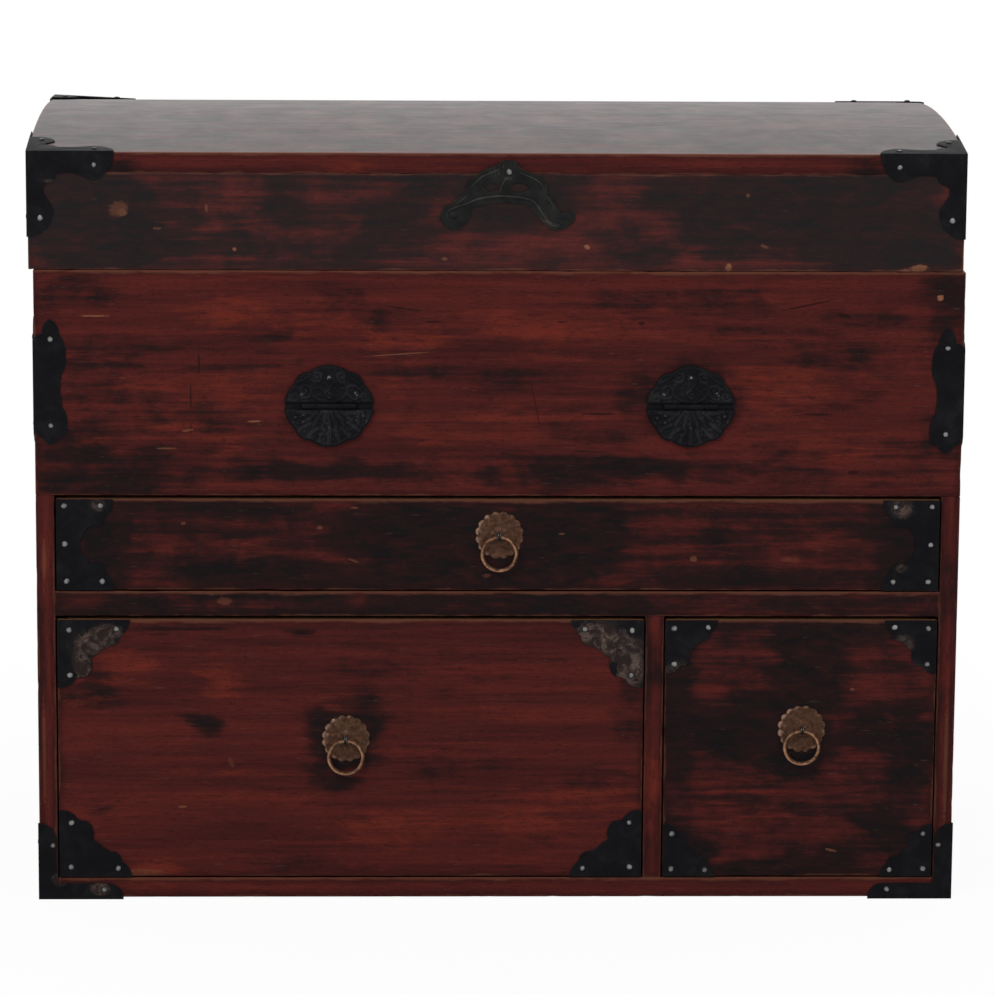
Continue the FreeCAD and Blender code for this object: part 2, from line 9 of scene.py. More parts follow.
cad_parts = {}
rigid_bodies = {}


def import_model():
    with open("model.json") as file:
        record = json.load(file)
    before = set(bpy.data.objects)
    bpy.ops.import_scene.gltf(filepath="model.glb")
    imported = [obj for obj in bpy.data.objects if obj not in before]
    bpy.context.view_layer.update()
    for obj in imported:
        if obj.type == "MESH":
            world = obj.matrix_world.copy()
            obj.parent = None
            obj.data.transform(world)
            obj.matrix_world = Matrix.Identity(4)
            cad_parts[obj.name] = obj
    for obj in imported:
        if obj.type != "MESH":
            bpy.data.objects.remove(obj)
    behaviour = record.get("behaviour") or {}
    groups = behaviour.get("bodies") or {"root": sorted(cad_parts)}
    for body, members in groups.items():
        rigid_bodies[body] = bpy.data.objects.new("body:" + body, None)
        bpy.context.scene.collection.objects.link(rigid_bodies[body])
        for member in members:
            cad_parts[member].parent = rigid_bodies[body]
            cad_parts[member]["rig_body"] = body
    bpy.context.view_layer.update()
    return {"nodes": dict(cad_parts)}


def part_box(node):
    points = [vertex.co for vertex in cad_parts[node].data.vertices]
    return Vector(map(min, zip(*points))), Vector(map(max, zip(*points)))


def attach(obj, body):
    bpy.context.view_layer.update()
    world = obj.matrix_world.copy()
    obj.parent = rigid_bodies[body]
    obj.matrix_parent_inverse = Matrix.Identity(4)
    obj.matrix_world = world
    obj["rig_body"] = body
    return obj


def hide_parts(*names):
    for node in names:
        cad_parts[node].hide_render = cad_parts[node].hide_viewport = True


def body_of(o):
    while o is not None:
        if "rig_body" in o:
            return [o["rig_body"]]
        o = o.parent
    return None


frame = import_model()
print("frame loaded")

frontLow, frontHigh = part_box("case_front_board")
frontY = frontLow.y                                # the plane of the chest's front
middleX = (frontLow.x + frontHigh.x) / 2           # middle of the case from side to side


# A shader socket that takes part in sums
class Wire:
    def __init__(self, shader, socket):
        self.shader, self.socket = shader, socket

    def sum(self, operation, *others):
        return self.shader.add("ShaderNodeMath", {"operation": operation}, dict(enumerate((self,) + others)))

    def __add__(self, other):
        return self.sum("ADD", other)

    def __sub__(self, other):
        return self.sum("SUBTRACT", other)

    def __rsub__(self, other):
        return (self * -1.0).sum("ADD", other)

    def __mul__(self, other):
        return self.sum("MULTIPLY", other)

    __radd__ = __add__

    def least(self, other):
        return self.sum("MINIMUM", other)

    def most(self, other):
        return self.sum("MAXIMUM", other)

    # 0 at the first value and 1 at the second, smooth between
    def ramp(self, low, high):
        return self.shader.add("ShaderNodeMapRange", {"interpolation_type": "SMOOTHSTEP"},
                               {0: self, 1: low, 2: high, 3: 0.0, 4: 1.0})


class Shader:
    def __init__(self, name, owner=None):
        self.owner = owner or bpy.data.materials.new(name)
        self.owner.use_nodes = True
        self.tree = self.owner.node_tree
        self.tree.nodes.clear()

    def add(self, kind, settings=None, values=None, output=0):
        node = self.tree.nodes.new(kind)
        for key, value in (settings or {}).items():
            setattr(node, key, value)
        for key, value in (values or {}).items():
            if isinstance(value, Wire):
                self.tree.links.new(value.socket, node.inputs[key])
            else:
                node.inputs[key].default_value = value
        return Wire(self, node.outputs[output])

    def vector(self, operation, a, b=(0.0, 0.0, 0.0), output=0):
        return self.add("ShaderNodeVectorMath", {"operation": operation}, {0: a, 1: b}, output)

    def attribute(self, name, output="Vector"):
        return self.add("ShaderNodeAttribute", {"attribute_name": name}, {}, output)

    def blend(self, factor, a, b):
        return self.add("ShaderNodeMix", {"data_type": "RGBA"}, {0: factor, 6: a, 7: b}, 2)

    def noise(self, place, scale, detail=3.0, roughness=0.55, distortion=0.0):
        return self.add("ShaderNodeTexNoise", {}, {"Vector": place, "Scale": scale, "Detail": detail,
                                                   "Roughness": roughness, "Distortion": distortion})

    # Noise drawn out along the grain, with one scale along it and one across it
    def grained(self, grain, along, across, detail=3.0, roughness=0.55, distortion=0.0):
        place = self.vector("MULTIPLY", grain, (along, across, across))
        return self.noise(place, 1.0, detail, roughness, distortion)

    def cells(self, place, scale):
        return self.add("ShaderNodeTexVoronoi", {}, {"Vector": place, "Scale": scale})

    def place(self):
        return self.add("ShaderNodeTexCoord", {}, {}, "Object")

    def parts(self, vector):
        node = self.tree.nodes.new("ShaderNodeSeparateXYZ")
        self.tree.links.new(vector.socket, node.inputs[0])
        return [Wire(self, socket) for socket in node.outputs]

    def bump(self, height, strength, distance, normal=None):
        values = {"Height": height, "Strength": strength, "Distance": distance}
        if normal:
            values["Normal"] = normal
        return self.add("ShaderNodeBump", {}, values)

    def show(self, surface, kind="ShaderNodeOutputMaterial"):
        self.tree.links.new(surface.socket, self.tree.nodes.new(kind).inputs["Surface"])
        return self.owner

    def finish(self, **sockets):
        names = {"color": "Base Color", "roughness": "Roughness", "metallic": "Metallic", "normal": "Normal",
                 "specular": "Specular IOR Level"}
        values = {names[key]: value for key, value in sockets.items()}
        return self.show(self.add("ShaderNodeBsdfPrincipled", {}, values))

    # 1 for what the camera sees straight, or in metal or glass
    def seen(self):
        rays = self.tree.nodes.new("ShaderNodeLightPath")
        kinds = [Wire(self, rays.outputs[name])
                 for name in ("Is Camera Ray", "Is Glossy Ray", "Is Transmission Ray")]
        return kinds[0].most(kinds[1]).most(kinds[2])


# A colour written as on a paint card, 0 to 255, as the shader's own values
def paint(red, green, blue):
    def line(value):
        share = value / 255
        return share / 12.92 if share <= 0.04045 else ((share + 0.055) / 1.055) ** 2.4
    return (line(red), line(green), line(blue), 1.0)


def addObject(name, data):
    made = bpy.data.objects.new(name, data)
    bpy.context.scene.collection.objects.link(made)
    return made


# Camera, lamps and floor
studio = {
    "viewFrom": (middleX - 0.137, frontY - 4.6, 1.313),
    "turn": 1.68, "dip": 11.12, "roll": 0.41,      # degrees
    "lens": 172.7,
    "lamps": (                                     # place, size, power, aimed at
        ((-1.4, -2.4, 2.6), 1.6, 58, (0, -0.1, 0.35)), ((1.8, -2.2, 2.2), 1.8, 28, (0, -0.1, 0.35)),
        ((0.2, 0.6, 2.8), 2.0, 14, (0, 0, 0.7)), ((-1.9, 1.9, 1.9), 1.8, 24, (0, 0, 0.4)),
        ((2.0, 1.8, 1.7), 1.8, 20, (0, 0, 0.4)),
    ),
    "sky": 0.42,
    "floorReach": 3.0, "floorShading": 0.05, "floorFade": (0.55, 1.3),
    "floorColors": (paint(214, 214, 213), paint(220, 220, 219)), "floorGrain": 90.0,
}
bpy.context.scene.view_settings.view_transform = "Standard"
camera = addObject("camera", bpy.data.cameras.new("camera"))
camera.data.lens = studio["lens"]
camera.data.clip_end = 100
camera.location = studio["viewFrom"]
camera.rotation_euler = (Matrix.Rotation(math.radians(-studio["turn"]), 4, "Z")
                         @ Matrix.Rotation(math.radians(90 - studio["dip"]), 4, "X")
                         @ Matrix.Rotation(math.radians(studio["roll"]), 4, "Z")).to_euler()
bpy.context.scene.camera = camera

for number, (place, size, power, target) in enumerate(studio["lamps"]):
    lamp = addObject(f"lamp{number}", bpy.data.lights.new(f"lamp{number}", "AREA"))
    lamp.data.size = size
    lamp.data.energy = power
    lamp.location = place
    lamp.rotation_euler = (Vector(target) - Vector(place)).to_track_quat("-Z", "Y").to_euler()

world = bpy.data.worlds.new("studio")
bpy.context.scene.world = world
sky = Shader("sky", world)
skyLevel = sky.seen() * (1 - studio["sky"]) + studio["sky"]
skyLight = sky.add("ShaderNodeBackground", {}, {"Color": (1, 1, 1, 1), "Strength": skyLevel})
sky.show(skyLight, "ShaderNodeOutputWorld")

# The floor is white, with a little of its own shading left so that the chest stands on something
reach = studio["floorReach"]
corners = [(x * reach, y * reach, 0) for x, y in ((-1, -1), (1, -1), (1, 1), (-1, 1))]
floorMesh = bpy.data.meshes.new("floor")
floorMesh.from_pydata(corners, [], [(0, 1, 2, 3)])
floor = addObject("floor", floorMesh)
ground = Shader("paperFloor")
spot = ground.place()
far = ground.vector("LENGTH", spot, output="Value").ramp(*studio["floorFade"])
paper = ground.blend(ground.noise(spot, studio["floorGrain"]), *studio["floorColors"])
card = ground.add("ShaderNodeBsdfDiffuse", {}, {"Color": paper})
white = ground.add("ShaderNodeEmission", {}, {"Color": (1, 1, 1, 1), "Strength": 1.0})
share = ground.seen() * (far * studio["floorShading"] + (1 - studio["floorShading"]))
floorMesh.materials.append(ground.show(ground.add("ShaderNodeMixShader", {}, {0: share, 1: card, 2: white})))
print("camera, lamps and floor made")


# Finishes. Marks on the front are given in millimetres from the middle of the case and from the floor:
# x, z, half width, half height, tilt in degrees, strength
lacquerLook = {
    "deep": paint(50, 21, 21), "middle": paint(83, 32, 28), "bright": paint(100, 38, 28),
    # streak is the dark of pores, cracks and cuts, and also the painted shade beside every edge
    "stain": paint(19, 16, 17), "streak": paint(28, 13, 14), "dust": paint(104, 78, 70),
    # gap is a painted shadow colour, for faces deep in narrow gaps
    "gap": paint(9, 6, 6), "arris": paint(108, 66, 50), "rawWood": paint(138, 90, 62),
    "specular": 0.04, "patchiness": 0.6,
    # noise along the grain: scale along it, scale across it, detail, roughness, distortion
    "noises": {
        "hair": (26.0, 900.0, 3.0, 0.6), "streak": (5.0, 150.0, 4.0, 0.62, 0.3),
        "band": (2.2, 34.0, 4.0, 0.55, 0.6), "mottle": (34.0, 110.0, 5.0, 0.66, 0.5),
        "smear": (9.0, 60.0, 5.0, 0.6, 0.8), "dash": (70.0, 620.0, 2.0, 0.5),
        "crack": (150.0, 520.0, 4.0, 0.7, 1.0),
    },
    "cloud": (26.0, 6.0, 0.62, 0.4), "flecks": 210.0, "tear": (420.0, 3.0), "waves": (14.0, 2.0),
    # how far each colour covers what lies below it
    "cover": {"bright": 0.8, "stain": 0.92, "pores": 0.3, "cracks": 0.5, "dashes": 0.22, "flecks": 0.5,
              "cuts": 0.75, "grime": 0.5, "rubbed": 0.5, "gap": 0.95},
    "depths": {"rubbed": (0.003, 0.001), "gap": (0.0007, 0.0026), "marks": (0.004, 0.001)},
    "chips": (
        (-371, 693, 9, 7, 20, 0.26), (-368, 690, 5, 4, 0, 0.4), (408, 637, 9, 3, 4, 0.95),
        (395, 634, 5, 2.5, 0, 0.8), (222, 637, 3, 4, 0, 0.9), (84, 657, 3, 2, -30, 0.75),
        (430, 608, 3, 3, 0, 0.9), (-259, 654, 1.8, 1.8, 0, 0.7), (-286, 694, 1.4, 3.5, 0, 0.3),
        (-334, 674, 4, 1.4, 0, 0.25), (257, 658, 4, 1.6, -20, 0.3), (-55, 645, 3, 1.6, 0, 0.4),
        (240, 708, 1.8, 1.8, 0, 0.3), (-395, 588, 13, 0.7, 0, 0.7), (-98, 551, 29, 0.6, 4, 0.5),
        (-240, 484, 7, 1.0, 3, 0.6), (-326, 457, 10, 0.9, 0, 0.4), (-305, 475, 6, 1.2, 10, 0.4),
        (-12, 330, 4, 2, 0, 0.22), (-142, 398, 4, 1.1, 0, 0.4), (-270, 304, 7, 4, 0, 0.2),
        (-312, 95, 4, 1, 0, 0.5), (-264, 140, 2.5, 5, 20, 0.15), (-352, 27, 20, 4, 0, 0.3),
        (-372, 24, 8, 3, 0, 0.4), (192, 347, 3.5, 3, 0, 0.35), (288, 346, 10, 2.5, 0, 0.14),
        (334, 50, 6, 1.3, -12, 0.45), (352, 215, 2.6, 1.2, 0, 0.4), (-310, 382, 2.5, 1.6, 0, 0.3),
        (62, 372, 3.5, 1.0, 0, 0.35), (-176, 378, 3, 2, 0, 0.3), (-143, 345, 5, 1.0, -20, 0.3),
        (-447, 345, 2, 20, 0, 0.25), (447, 140, 2, 60, 0, 0.25), (-449, 150, 1.6, 50, 0, 0.3),
    ),
    "cuts": (
        (-294, 541, 0.9, 10, 0, 1), (-302, 508, 0.8, 14, 0, 1), (-302, 477, 0.7, 6, 0, 1),
        (348, 434, 5, 2, 0, 1), (138, 582, 3, 2, 0, 1), (60, 583, 4, 1, 0, 1), (336, 590, 7, 2, -15, 1),
        (-94, 596, 20, 0.8, -8, 1), (35, 500, 1, 22, 12, 0.6), (300, 600, 26, 0.9, 12, 1),
        (-190, 273, 12, 3, 0, 1), (-308, 276, 40, 1.6, 0, 1), (-65, 583, 9, 1, 0, 1),
        (-340, 430, 20, 1, -3, 1), (97, 492, 16, 1.2, 0, 1), (312, 492, 16, 1.2, 0, 1),
        (-371, 691, 2, 2, 0, 0.8),
    ),
}


# How far a point is from the nearest edge of its board: the second smallest of the three gaps
def edgeGap(shader):
    spot = shader.vector("ABSOLUTE", shader.attribute("spot"))
    x, y, z = shader.parts(shader.vector("SUBTRACT", shader.attribute("half"), spot))
    return x.least(y).most(x.most(y).least(z))


# The marks that fall on a box
def marksOn(marks, low, high):
    return [mark for mark in marks
            if low[0] < middleX + mark[0] / 1000 < high[0] and low[2] < mark[1] / 1000 < high[2]]


# Ragged ellipses on the front, as strong as each one says
def frontMarks(shader, place, marks, ragged):
    x, y, z = shader.parts(place)
    across = (x - middleX) * 1000.0
    up = z * 1000.0
    total = None
    for markX, markZ, wide, high, tilt, strength in marks:
        cosine, sine = math.cos(math.radians(tilt)), math.sin(math.radians(tilt))
        u = (across - markX) * (cosine / wide) + (up - markZ) * (sine / wide)
        v = (up - markZ) * (cosine / high) - (across - markX) * (sine / high)
        mark = (u * u + v * v + ragged).ramp(1.5, 0.5) * strength
        total = mark if total is None else total.most(mark)
    return total * (y - frontY).ramp(*lacquerLook["depths"]["marks"])


# Old lacquer over straight grain, blackened in patches and rubbed to the wood along its edges, with painted
# shade beside the edges and a painted shadow deep in the gaps
def lacquer(name, look, chips=(), cuts=(), specular=None):
    s = Shader(name)
    grain = s.attribute("grain")
    place = s.place()
    cover, depths = look["cover"], look["depths"]
    noises = (s.grained(grain, *row) for row in look["noises"].values())
    hair, streak, band, mottle, smear, dash, crack = noises
    cloud = s.noise(place, *look["cloud"])
    body = s.blend((streak * 0.7 + band * 0.6).ramp(0.35, 0.9), look["deep"], look["middle"])

    # red where the lacquer shines through, black where soot lies on it
    ragged = (smear - 0.5) * 2.2 + (mottle - 0.5) * 2.2 + (streak - 0.5) * 1.2
    dim = s.attribute("dim", "Fac")
    warm = (s.attribute("glow", "Fac") * 1.05 + ragged * 0.75 - dim * 0.9).ramp(0.15, 1.15)
    body = s.blend(warm * cover["bright"], body, look["bright"])
    soot = s.attribute("stain", "Fac") * 1.05 + dim
    dark = (soot - ragged * 0.6 + (cloud - 0.5) * 1.2).ramp(0.12, 1.0)
    body = s.blend(dark * ((mottle - 0.5) * 0.9 + cover["stain"]), body, look["stain"])

    # grain, cracks and dust
    pores = hair.ramp(0.5, 0.66) * streak.ramp(0.35, 0.55)
    body = s.blend(pores * cover["pores"], body, look["streak"])
    body = s.blend(crack.ramp(0.52, 0.66) * cover["cracks"], body, look["streak"])
    body = s.blend(dash.ramp(0.66, 0.8) * cover["dashes"], body, look["dust"])
    fleck = s.cells(place, look["flecks"]).ramp(0.11, 0.03) * cloud.ramp(0.5, 0.62)
    body = s.blend(fleck * cover["flecks"], body, look["dust"])
    height = streak * 0.6 + hair * 0.35 + dash * 0.3

    # chips and cuts of the front
    if chips or cuts:
        torn = (s.noise(place, *look["tear"]) - 0.5) * 2.2
        if cuts:
            body = s.blend(frontMarks(s, place, cuts, torn) * cover["cuts"], body, look["streak"])
        if chips:
            bared = frontMarks(s, place, chips, torn)
            body = s.blend(bared, body, s.blend(mottle, look["arris"], look["rawWood"]))
            height = height - bared * 1.2

    # edges in millimetres: painted shade beside them, bare wood on them, and a black painted shadow on faces
    # deep in the gaps
    edge = edgeGap(s) * 1000.0 + (mottle - 0.5) * 5.0 + (cloud - 0.5) * 7.0 + (smear - 0.5) * 5.0
    # painted shade: the colour darkens towards the streak colour within about nine millimetres of every edge
    body = s.blend(edge.ramp(9.0, 1.0) * cover["grime"], body, look["streak"])
    depth = s.parts(place)[1] - frontY
    upper = s.parts(s.attribute("half"))[2] - s.parts(s.attribute("spot"))[2]
    upper = (upper * 1000.0 + (mottle - 0.5) * 7.0 + (smear - 0.5) * 6.0).ramp(4.0, 0.6)
    upper = upper * depth.ramp(*depths["rubbed"])
    rubbed = (edge.ramp(1.6, 0.1) * 0.6).most(upper)
    body = s.blend(rubbed * cover["rubbed"], body, look["arris"])
    # painted shadow: on boards in narrow gaps, faces from under a millimetre behind the front turn black,
    # fully by about three millimetres
    gapShade = depth.ramp(*depths["gap"]) * s.attribute("gapShade", "Fac")
    body = s.blend(gapShade * cover["gap"], body, look["gap"])

    wavy = s.bump(s.noise(place, *look["waves"]), 0.25, 0.002)
    rough = 0.34 + streak * 0.14 + rubbed * 0.15
    rough = rough + ((cloud - 0.5) * 0.4 + (mottle - 0.5) * 0.3) * look["patchiness"]
    return s.finish(color=body, roughness=rough, normal=s.bump(height + crack * 0.3, 0.5, 0.0005, wavy),
                    specular=specular or look["specular"])


bareLook = {
    "wood": paint(150, 108, 70), "dark": paint(112, 76, 48), "pore": paint(78, 50, 32),
    "dirt": paint(70, 50, 38),
    "noises": {"hair": (16.0, 900.0, 4.0, 0.65), "streak": (2.4, 210.0, 6.0, 0.68, 0.3),
               "ring": (1.1, 26.0, 3.0, 0.5, 0.8)},
    "cloud": (12.0, 6.0, 0.62, 0.4), "seam": (0.006, 0.001), "specular": 0.2,
}


# The wood's own colour, inside and at the back
def bareWood(look):
    s = Shader("bareWood")
    grain = s.attribute("grain")
    hair, streak, ring = (s.grained(grain, *row) for row in look["noises"].values())
    cloud = s.noise(s.place(), *look["cloud"])
    wood = s.blend((streak * 0.9 + ring * 0.5).ramp(0.5, 0.9), look["wood"], look["dark"])
    wood = s.blend(s.attribute("tone", "Fac") * 0.45, wood, look["dark"])
    wood = s.blend(hair.ramp(0.48, 0.66) * 0.5, wood, look["pore"])
    wood = s.blend(cloud.ramp(0.45, 0.75) * 0.45, wood, look["dirt"])
    wood = s.blend(edgeGap(s).ramp(*look["seam"]) * 0.8, wood, look["pore"])
    return s.finish(color=wood, roughness=streak * 0.15 + 0.62,
                    normal=s.bump(hair * 0.5 + streak, 0.5, 0.0004), specular=look["specular"])


plainLacquer = lacquer("wornLacquer", lacquerLook)
bareFinish = bareWood(bareLook)

ironLook = {
    "black": paint(14, 14, 17), "blue": paint(21, 21, 24), "rust": paint(44, 36, 32),
    "scratch": paint(70, 68, 66), "ridge": paint(50, 49, 50), "rubbed": paint(42, 33, 31),
    "silver": paint(96, 80, 72), "rimDark": paint(20, 19, 20), "rimLight": paint(62, 56, 50),
    "specular": 0.04,
    # noise: scale, detail, roughness, distortion
    "cloud": (55.0, 5.0, 0.6, 0.5), "pits": (700.0, 4.0, 0.65), "crease": (80.0, 5.0, 0.6, 1.2),
    "dents": (120.0, 3.0), "soft": (120.0, 4.0, 0.6), "grit": 900.0,
    "worn": (
        (-398, 262, 24, 13, 10, 0.8), (-410, 240, 9, 22, 10, 0.75), (-385, 272, 16, 8, 0, 0.75),
        (110, 262, 34, 18, -20, 0.85), (132, 240, 14, 26, 0, 0.85), (92, 270, 16, 10, 0, 0.8),
        (178, 232, 12, 12, 0, 0.5), (200, 62, 7, 22, 40, 0.45), (184, 82, 6, 10, 20, 0.35),
        (414, 232, 12, 12, 0, 0.5), (402, 262, 10, 10, 0, 0.5), (396, 398, 12, 9, 0, 0.6),
        (398, 350, 3, 7, -20, 0.7), (-394, 400, 8, 6, 0, 0.5), (-395, 11, 11, 7, 0, 0.9),
        (-436, 20, 7, 5, -35, 0.5), (398, 338, 6, 4, 0, 0.4), (60, 703, 18, 4, 35, 0.5),
        (-437, 720, 10, 2, 0, 0.3),
    ),
}


# Blackened sheet iron, pitted and here and there rubbed to brown or grey; on the lid ornament these rubbed
# patches are partly painted highlights
def blackIron(name, look, worn=()):
    s = Shader(name)
    place = s.place()
    cloud, pits, crease, dents = (s.noise(place, *look[key]) for key in ("cloud", "pits", "crease", "dents"))
    grit = s.cells(place, look["grit"])
    color = s.blend(cloud.ramp(0.35, 0.7), look["black"], look["blue"])
    color = s.blend(cloud.ramp(0.56, 0.74) * pits.ramp(0.4, 0.7) * 0.6, color, look["rust"])
    color = s.blend(grit.ramp(0.16, 0.05) * pits.ramp(0.48, 0.66) * 0.6, color, look["scratch"])
    raised = (s.attribute("crown", "Fac") + (cloud - 0.5) * 0.8 + (pits - 0.5) * 0.5).ramp(0.35, 1.15)
    metal = raised * 0.3 + 0.1
    if worn:
        bared = frontMarks(s, place, worn, (cloud - 0.5) * 3.4 + (crease - 0.5) * 4.0)
        tone = (crease * 0.75 + pits * 0.25).ramp(0.45, 0.62)
        color = s.blend(bared, color, s.blend(tone, look["rubbed"], look["silver"]))
        dents = dents + crease * bared * 2.0
        metal = metal + bared * 0.2
    color = s.blend(raised * 0.75, color, look["ridge"])
    return s.finish(color=color, roughness=0.42 + pits * 0.2 - raised * 0.1, metallic=metal,
                    normal=s.bump(pits + grit * 0.3, 0.35, 0.00035, s.bump(dents, 0.4, 0.0012)),
                    specular=look["specular"])


# The eased edge of a sheet, where the black has rubbed off
def ironRim(look):
    s = Shader("ironRim")
    soft, pits = (s.noise(s.place(), *look[key]) for key in ("soft", "pits"))
    return s.finish(color=s.blend(soft.ramp(0.38, 0.66), look["rimDark"], look["rimLight"]),
                    roughness=0.45 + pits * 0.15, metallic=0.2, normal=s.bump(pits, 0.3, 0.0003),
                    specular=look["specular"])


ironFinish = blackIron("blackIron", ironLook)
rimFinish = ironRim(ironLook)

# dark, middle and bright colour, the crown values where the bright one begins and ends, its share, metallic
metalLook = {
    "rubbedNailAndHighlight": (paint(26, 26, 28), paint(26, 26, 28), paint(138, 139, 136), 0.35, 1.0, 0.9, 0.2),
    "brownBronze": (paint(54, 35, 26), paint(84, 58, 44), paint(146, 118, 102), 0.55, 1.2, 0.75, 0.3),
    "rubbedBronzeAndHighlight": (paint(54, 35, 26), paint(84, 58, 44), paint(176, 130, 98), 0.42, 1.0, 0.9, 0.4),
}
metalGrime = {
    "color": paint(26, 20, 19), "cloud": (220.0, 5.0, 0.6, 0.4), "fine": (1100.0, 3.0), "specular": 0.06,
}


# Small metal pieces, darker in their hollows and brighter where the crown value is high: rubbed on the nail
# heads and rosettes, and a painted highlight on the ring, the split pin and the rosettes' left lobes
def rubbedAndHighlitMetal(name):
    dark, middle, bright, crownFrom, crownTo, share, metallic = metalLook[name]
    s = Shader(name)
    place = s.place()
    cloud, fine = (s.noise(place, *metalGrime[key]) for key in ("cloud", "fine"))
    rubAndHighlight = (s.attribute("crown", "Fac") + (cloud - 0.5) * 0.8 + (fine - 0.5) * 0.5).ramp(crownFrom, crownTo)
    color = s.blend(cloud.ramp(0.3, 0.7), dark, middle)
    color = s.blend(rubAndHighlight * share, color, bright)
    color = s.blend(fine.ramp(0.64, 0.8) * 0.3, color, metalGrime["color"])
    return s.finish(color=color, roughness=0.5 - rubAndHighlight * 0.2 + (fine - 0.5) * 0.15,
                    metallic=metallic + rubAndHighlight * 0.3, normal=s.bump(fine + cloud, 0.3, 0.0003),
                    specular=metalGrime["specular"])


nailFinish, rosetteFinish, ringFinish = (rubbedAndHighlitMetal(name) for name in metalLook)
print("finishes made")


sameSpot = 1e-6                                    # corners closer than this are one corner, in metres


# A CAD node's mesh with its split corners merged
def meshOf(node):
    shape = bmesh.new()
    shape.from_mesh(frame["nodes"][node].data)
    bmesh.ops.remove_doubles(shape, verts=shape.verts, dist=sameSpot)
    return shape


# The separate solids of a CAD node, each as its corner points
def solidsOf(node):
    shape = meshOf(node)
    left = set(shape.verts)
    found = []
    for first in shape.verts:
        if first not in left:
            continue
        left.remove(first)
        stack = [first]
        island = []
        while stack:
            vert = stack.pop()
            island.append(tuple(vert.co))
            for edge in vert.link_edges:
                other = edge.other_vert(vert)
                if other in left:
                    left.remove(other)
                    stack.append(other)
        found.append(np.array(island))
    shape.free()
    return sorted(found, key=lambda points: tuple(np.round(points.mean(0), 3)))


# Draws faces out by a step and closes the sides
def drawOut(shape, faces, step):
    grown = bmesh.ops.extrude_face_region(shape, geom=faces)
    raised = [v for v in grown["geom"] if isinstance(v, bmesh.types.BMVert)]
    bmesh.ops.translate(shape, vec=step, verts=raised)
    bmesh.ops.recalc_face_normals(shape, faces=shape.faces[:])


# A straight length of an outline, which lies across the axis in the order of the other two
def prism(outline, axis, low, high):
    shape = bmesh.new()
    others = [i for i in range(3) if i != axis]
    ring = []
    for u, v in outline:
        place = [0.0, 0.0, 0.0]
        place[axis], place[others[0]], place[others[1]] = low, u, v
        ring.append(shape.verts.new(place))
    step = Vector((0, 0, 0))
    step[axis] = high - low
    drawOut(shape, [shape.faces.new(ring)], step)
    return shape


def block(low, high):
    outline = [(low[1], low[2]), (high[1], low[2]), (high[1], high[2]), (low[1], high[2])]
    return prism(outline, 0, low[0], high[0])


def roundEdges(shape, width, segments=3, material=-1, least=0.35):
    edges = [e for e in shape.edges if len(e.link_faces) == 2 and e.calc_face_angle() > least]
    bmesh.ops.bevel(shape, geom=edges, offset=width, offset_type="OFFSET", segments=segments, profile=0.55,
                    affect="EDGES", clamp_overlap=True, material=material)


def cutAcross(shape, axis, spacing):
    values = [v.co[axis] for v in shape.verts]
    low, high = min(values), max(values)
    count = int((high - low) / spacing)
    normal = [0, 0, 0]
    normal[axis] = 1
    for step in range(1, count):
        place = [0, 0, 0]
        place[axis] = low + (high - low) * step / count
        bmesh.ops.bisect_plane(shape, geom=shape.verts[:] + shape.edges[:] + shape.faces[:], dist=1e-7,
                               plane_co=place, plane_no=normal)


# One value, or one vector, for each point of a mesh; a single number goes to all of them
def writeAttribute(mesh, name, values, kind="FLOAT"):
    layer = mesh.attributes.new(name, kind, "POINT")
    size = len(mesh.vertices) * (3 if kind == "FLOAT_VECTOR" else 1)
    values = np.resize(np.asarray(values, np.float32), size)
    layer.data.foreach_set("vector" if kind == "FLOAT_VECTOR" else "value", values)


def toObject(shape, name, finishes, smooth=False):
    mesh = bpy.data.meshes.new(name)
    shape.to_mesh(mesh)
    shape.free()
    for finish in finishes:
        mesh.materials.append(finish)
    if smooth:
        mesh.shade_smooth()
    return addObject(name, mesh)


def pointsOf(mesh):
    points = np.zeros(len(mesh.vertices) * 3)
    mesh.vertices.foreach_get("co", points)
    return points.reshape(-1, 3)


def join(name, pieces):
    for piece in bpy.context.selected_objects:
        piece.select_set(False)
    for piece in pieces:
        piece.select_set(True)
    bpy.context.view_layer.objects.active = pieces[0]
    bpy.ops.object.join()
    pieces[0].name = pieces[0].data.name = name
    return pieces[0]


# "drawer_wide_front" becomes "drawerWideFront"
def camel(node):
    first, *others = node.split("_")
    return first + "".join(word.capitalize() for word in others)


# A piece rides on the body of its CAD node and takes the node's place
def settle(piece, node, hides=True):
    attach(piece, body_of(frame["nodes"][node])[0])
    if hides:
        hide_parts(node)


# A smooth line through a few points, closed or open
def smoothLine(points, steps, closed=False):
    points = [Vector(p) for p in points]
    count = len(points)
    line = []
    for i in range(count if closed else count - 1):
        if closed:
            a, b, c, d = (points[(i + k) % count] for k in (-1, 0, 1, 2))
        else:
            a, b, c, d = (points[min(max(i + k, 0), count - 1)] for k in (-1, 0, 1, 2))
        for step in range(steps):
            t = step / steps
            line.append(0.5 * (2 * b + (c - a) * t + (2 * a - 5 * b + 4 * c - d) * t * t
                               + (3 * b - a - 3 * c + d) * t ** 3))
    return line if closed else line + [points[-1]]


# Faces from a middle point out over rows of points
def fan(shape, middle, rows, closed=False):
    count = len(rows[0])
    for step in range(count if closed else count - 1):
        after = (step + 1) % count
        shape.faces.new((middle, rows[0][step], rows[0][after]))
        for here, there in zip(rows, rows[1:]):
            shape.faces.new((here[step], there[step], there[after], here[after]))


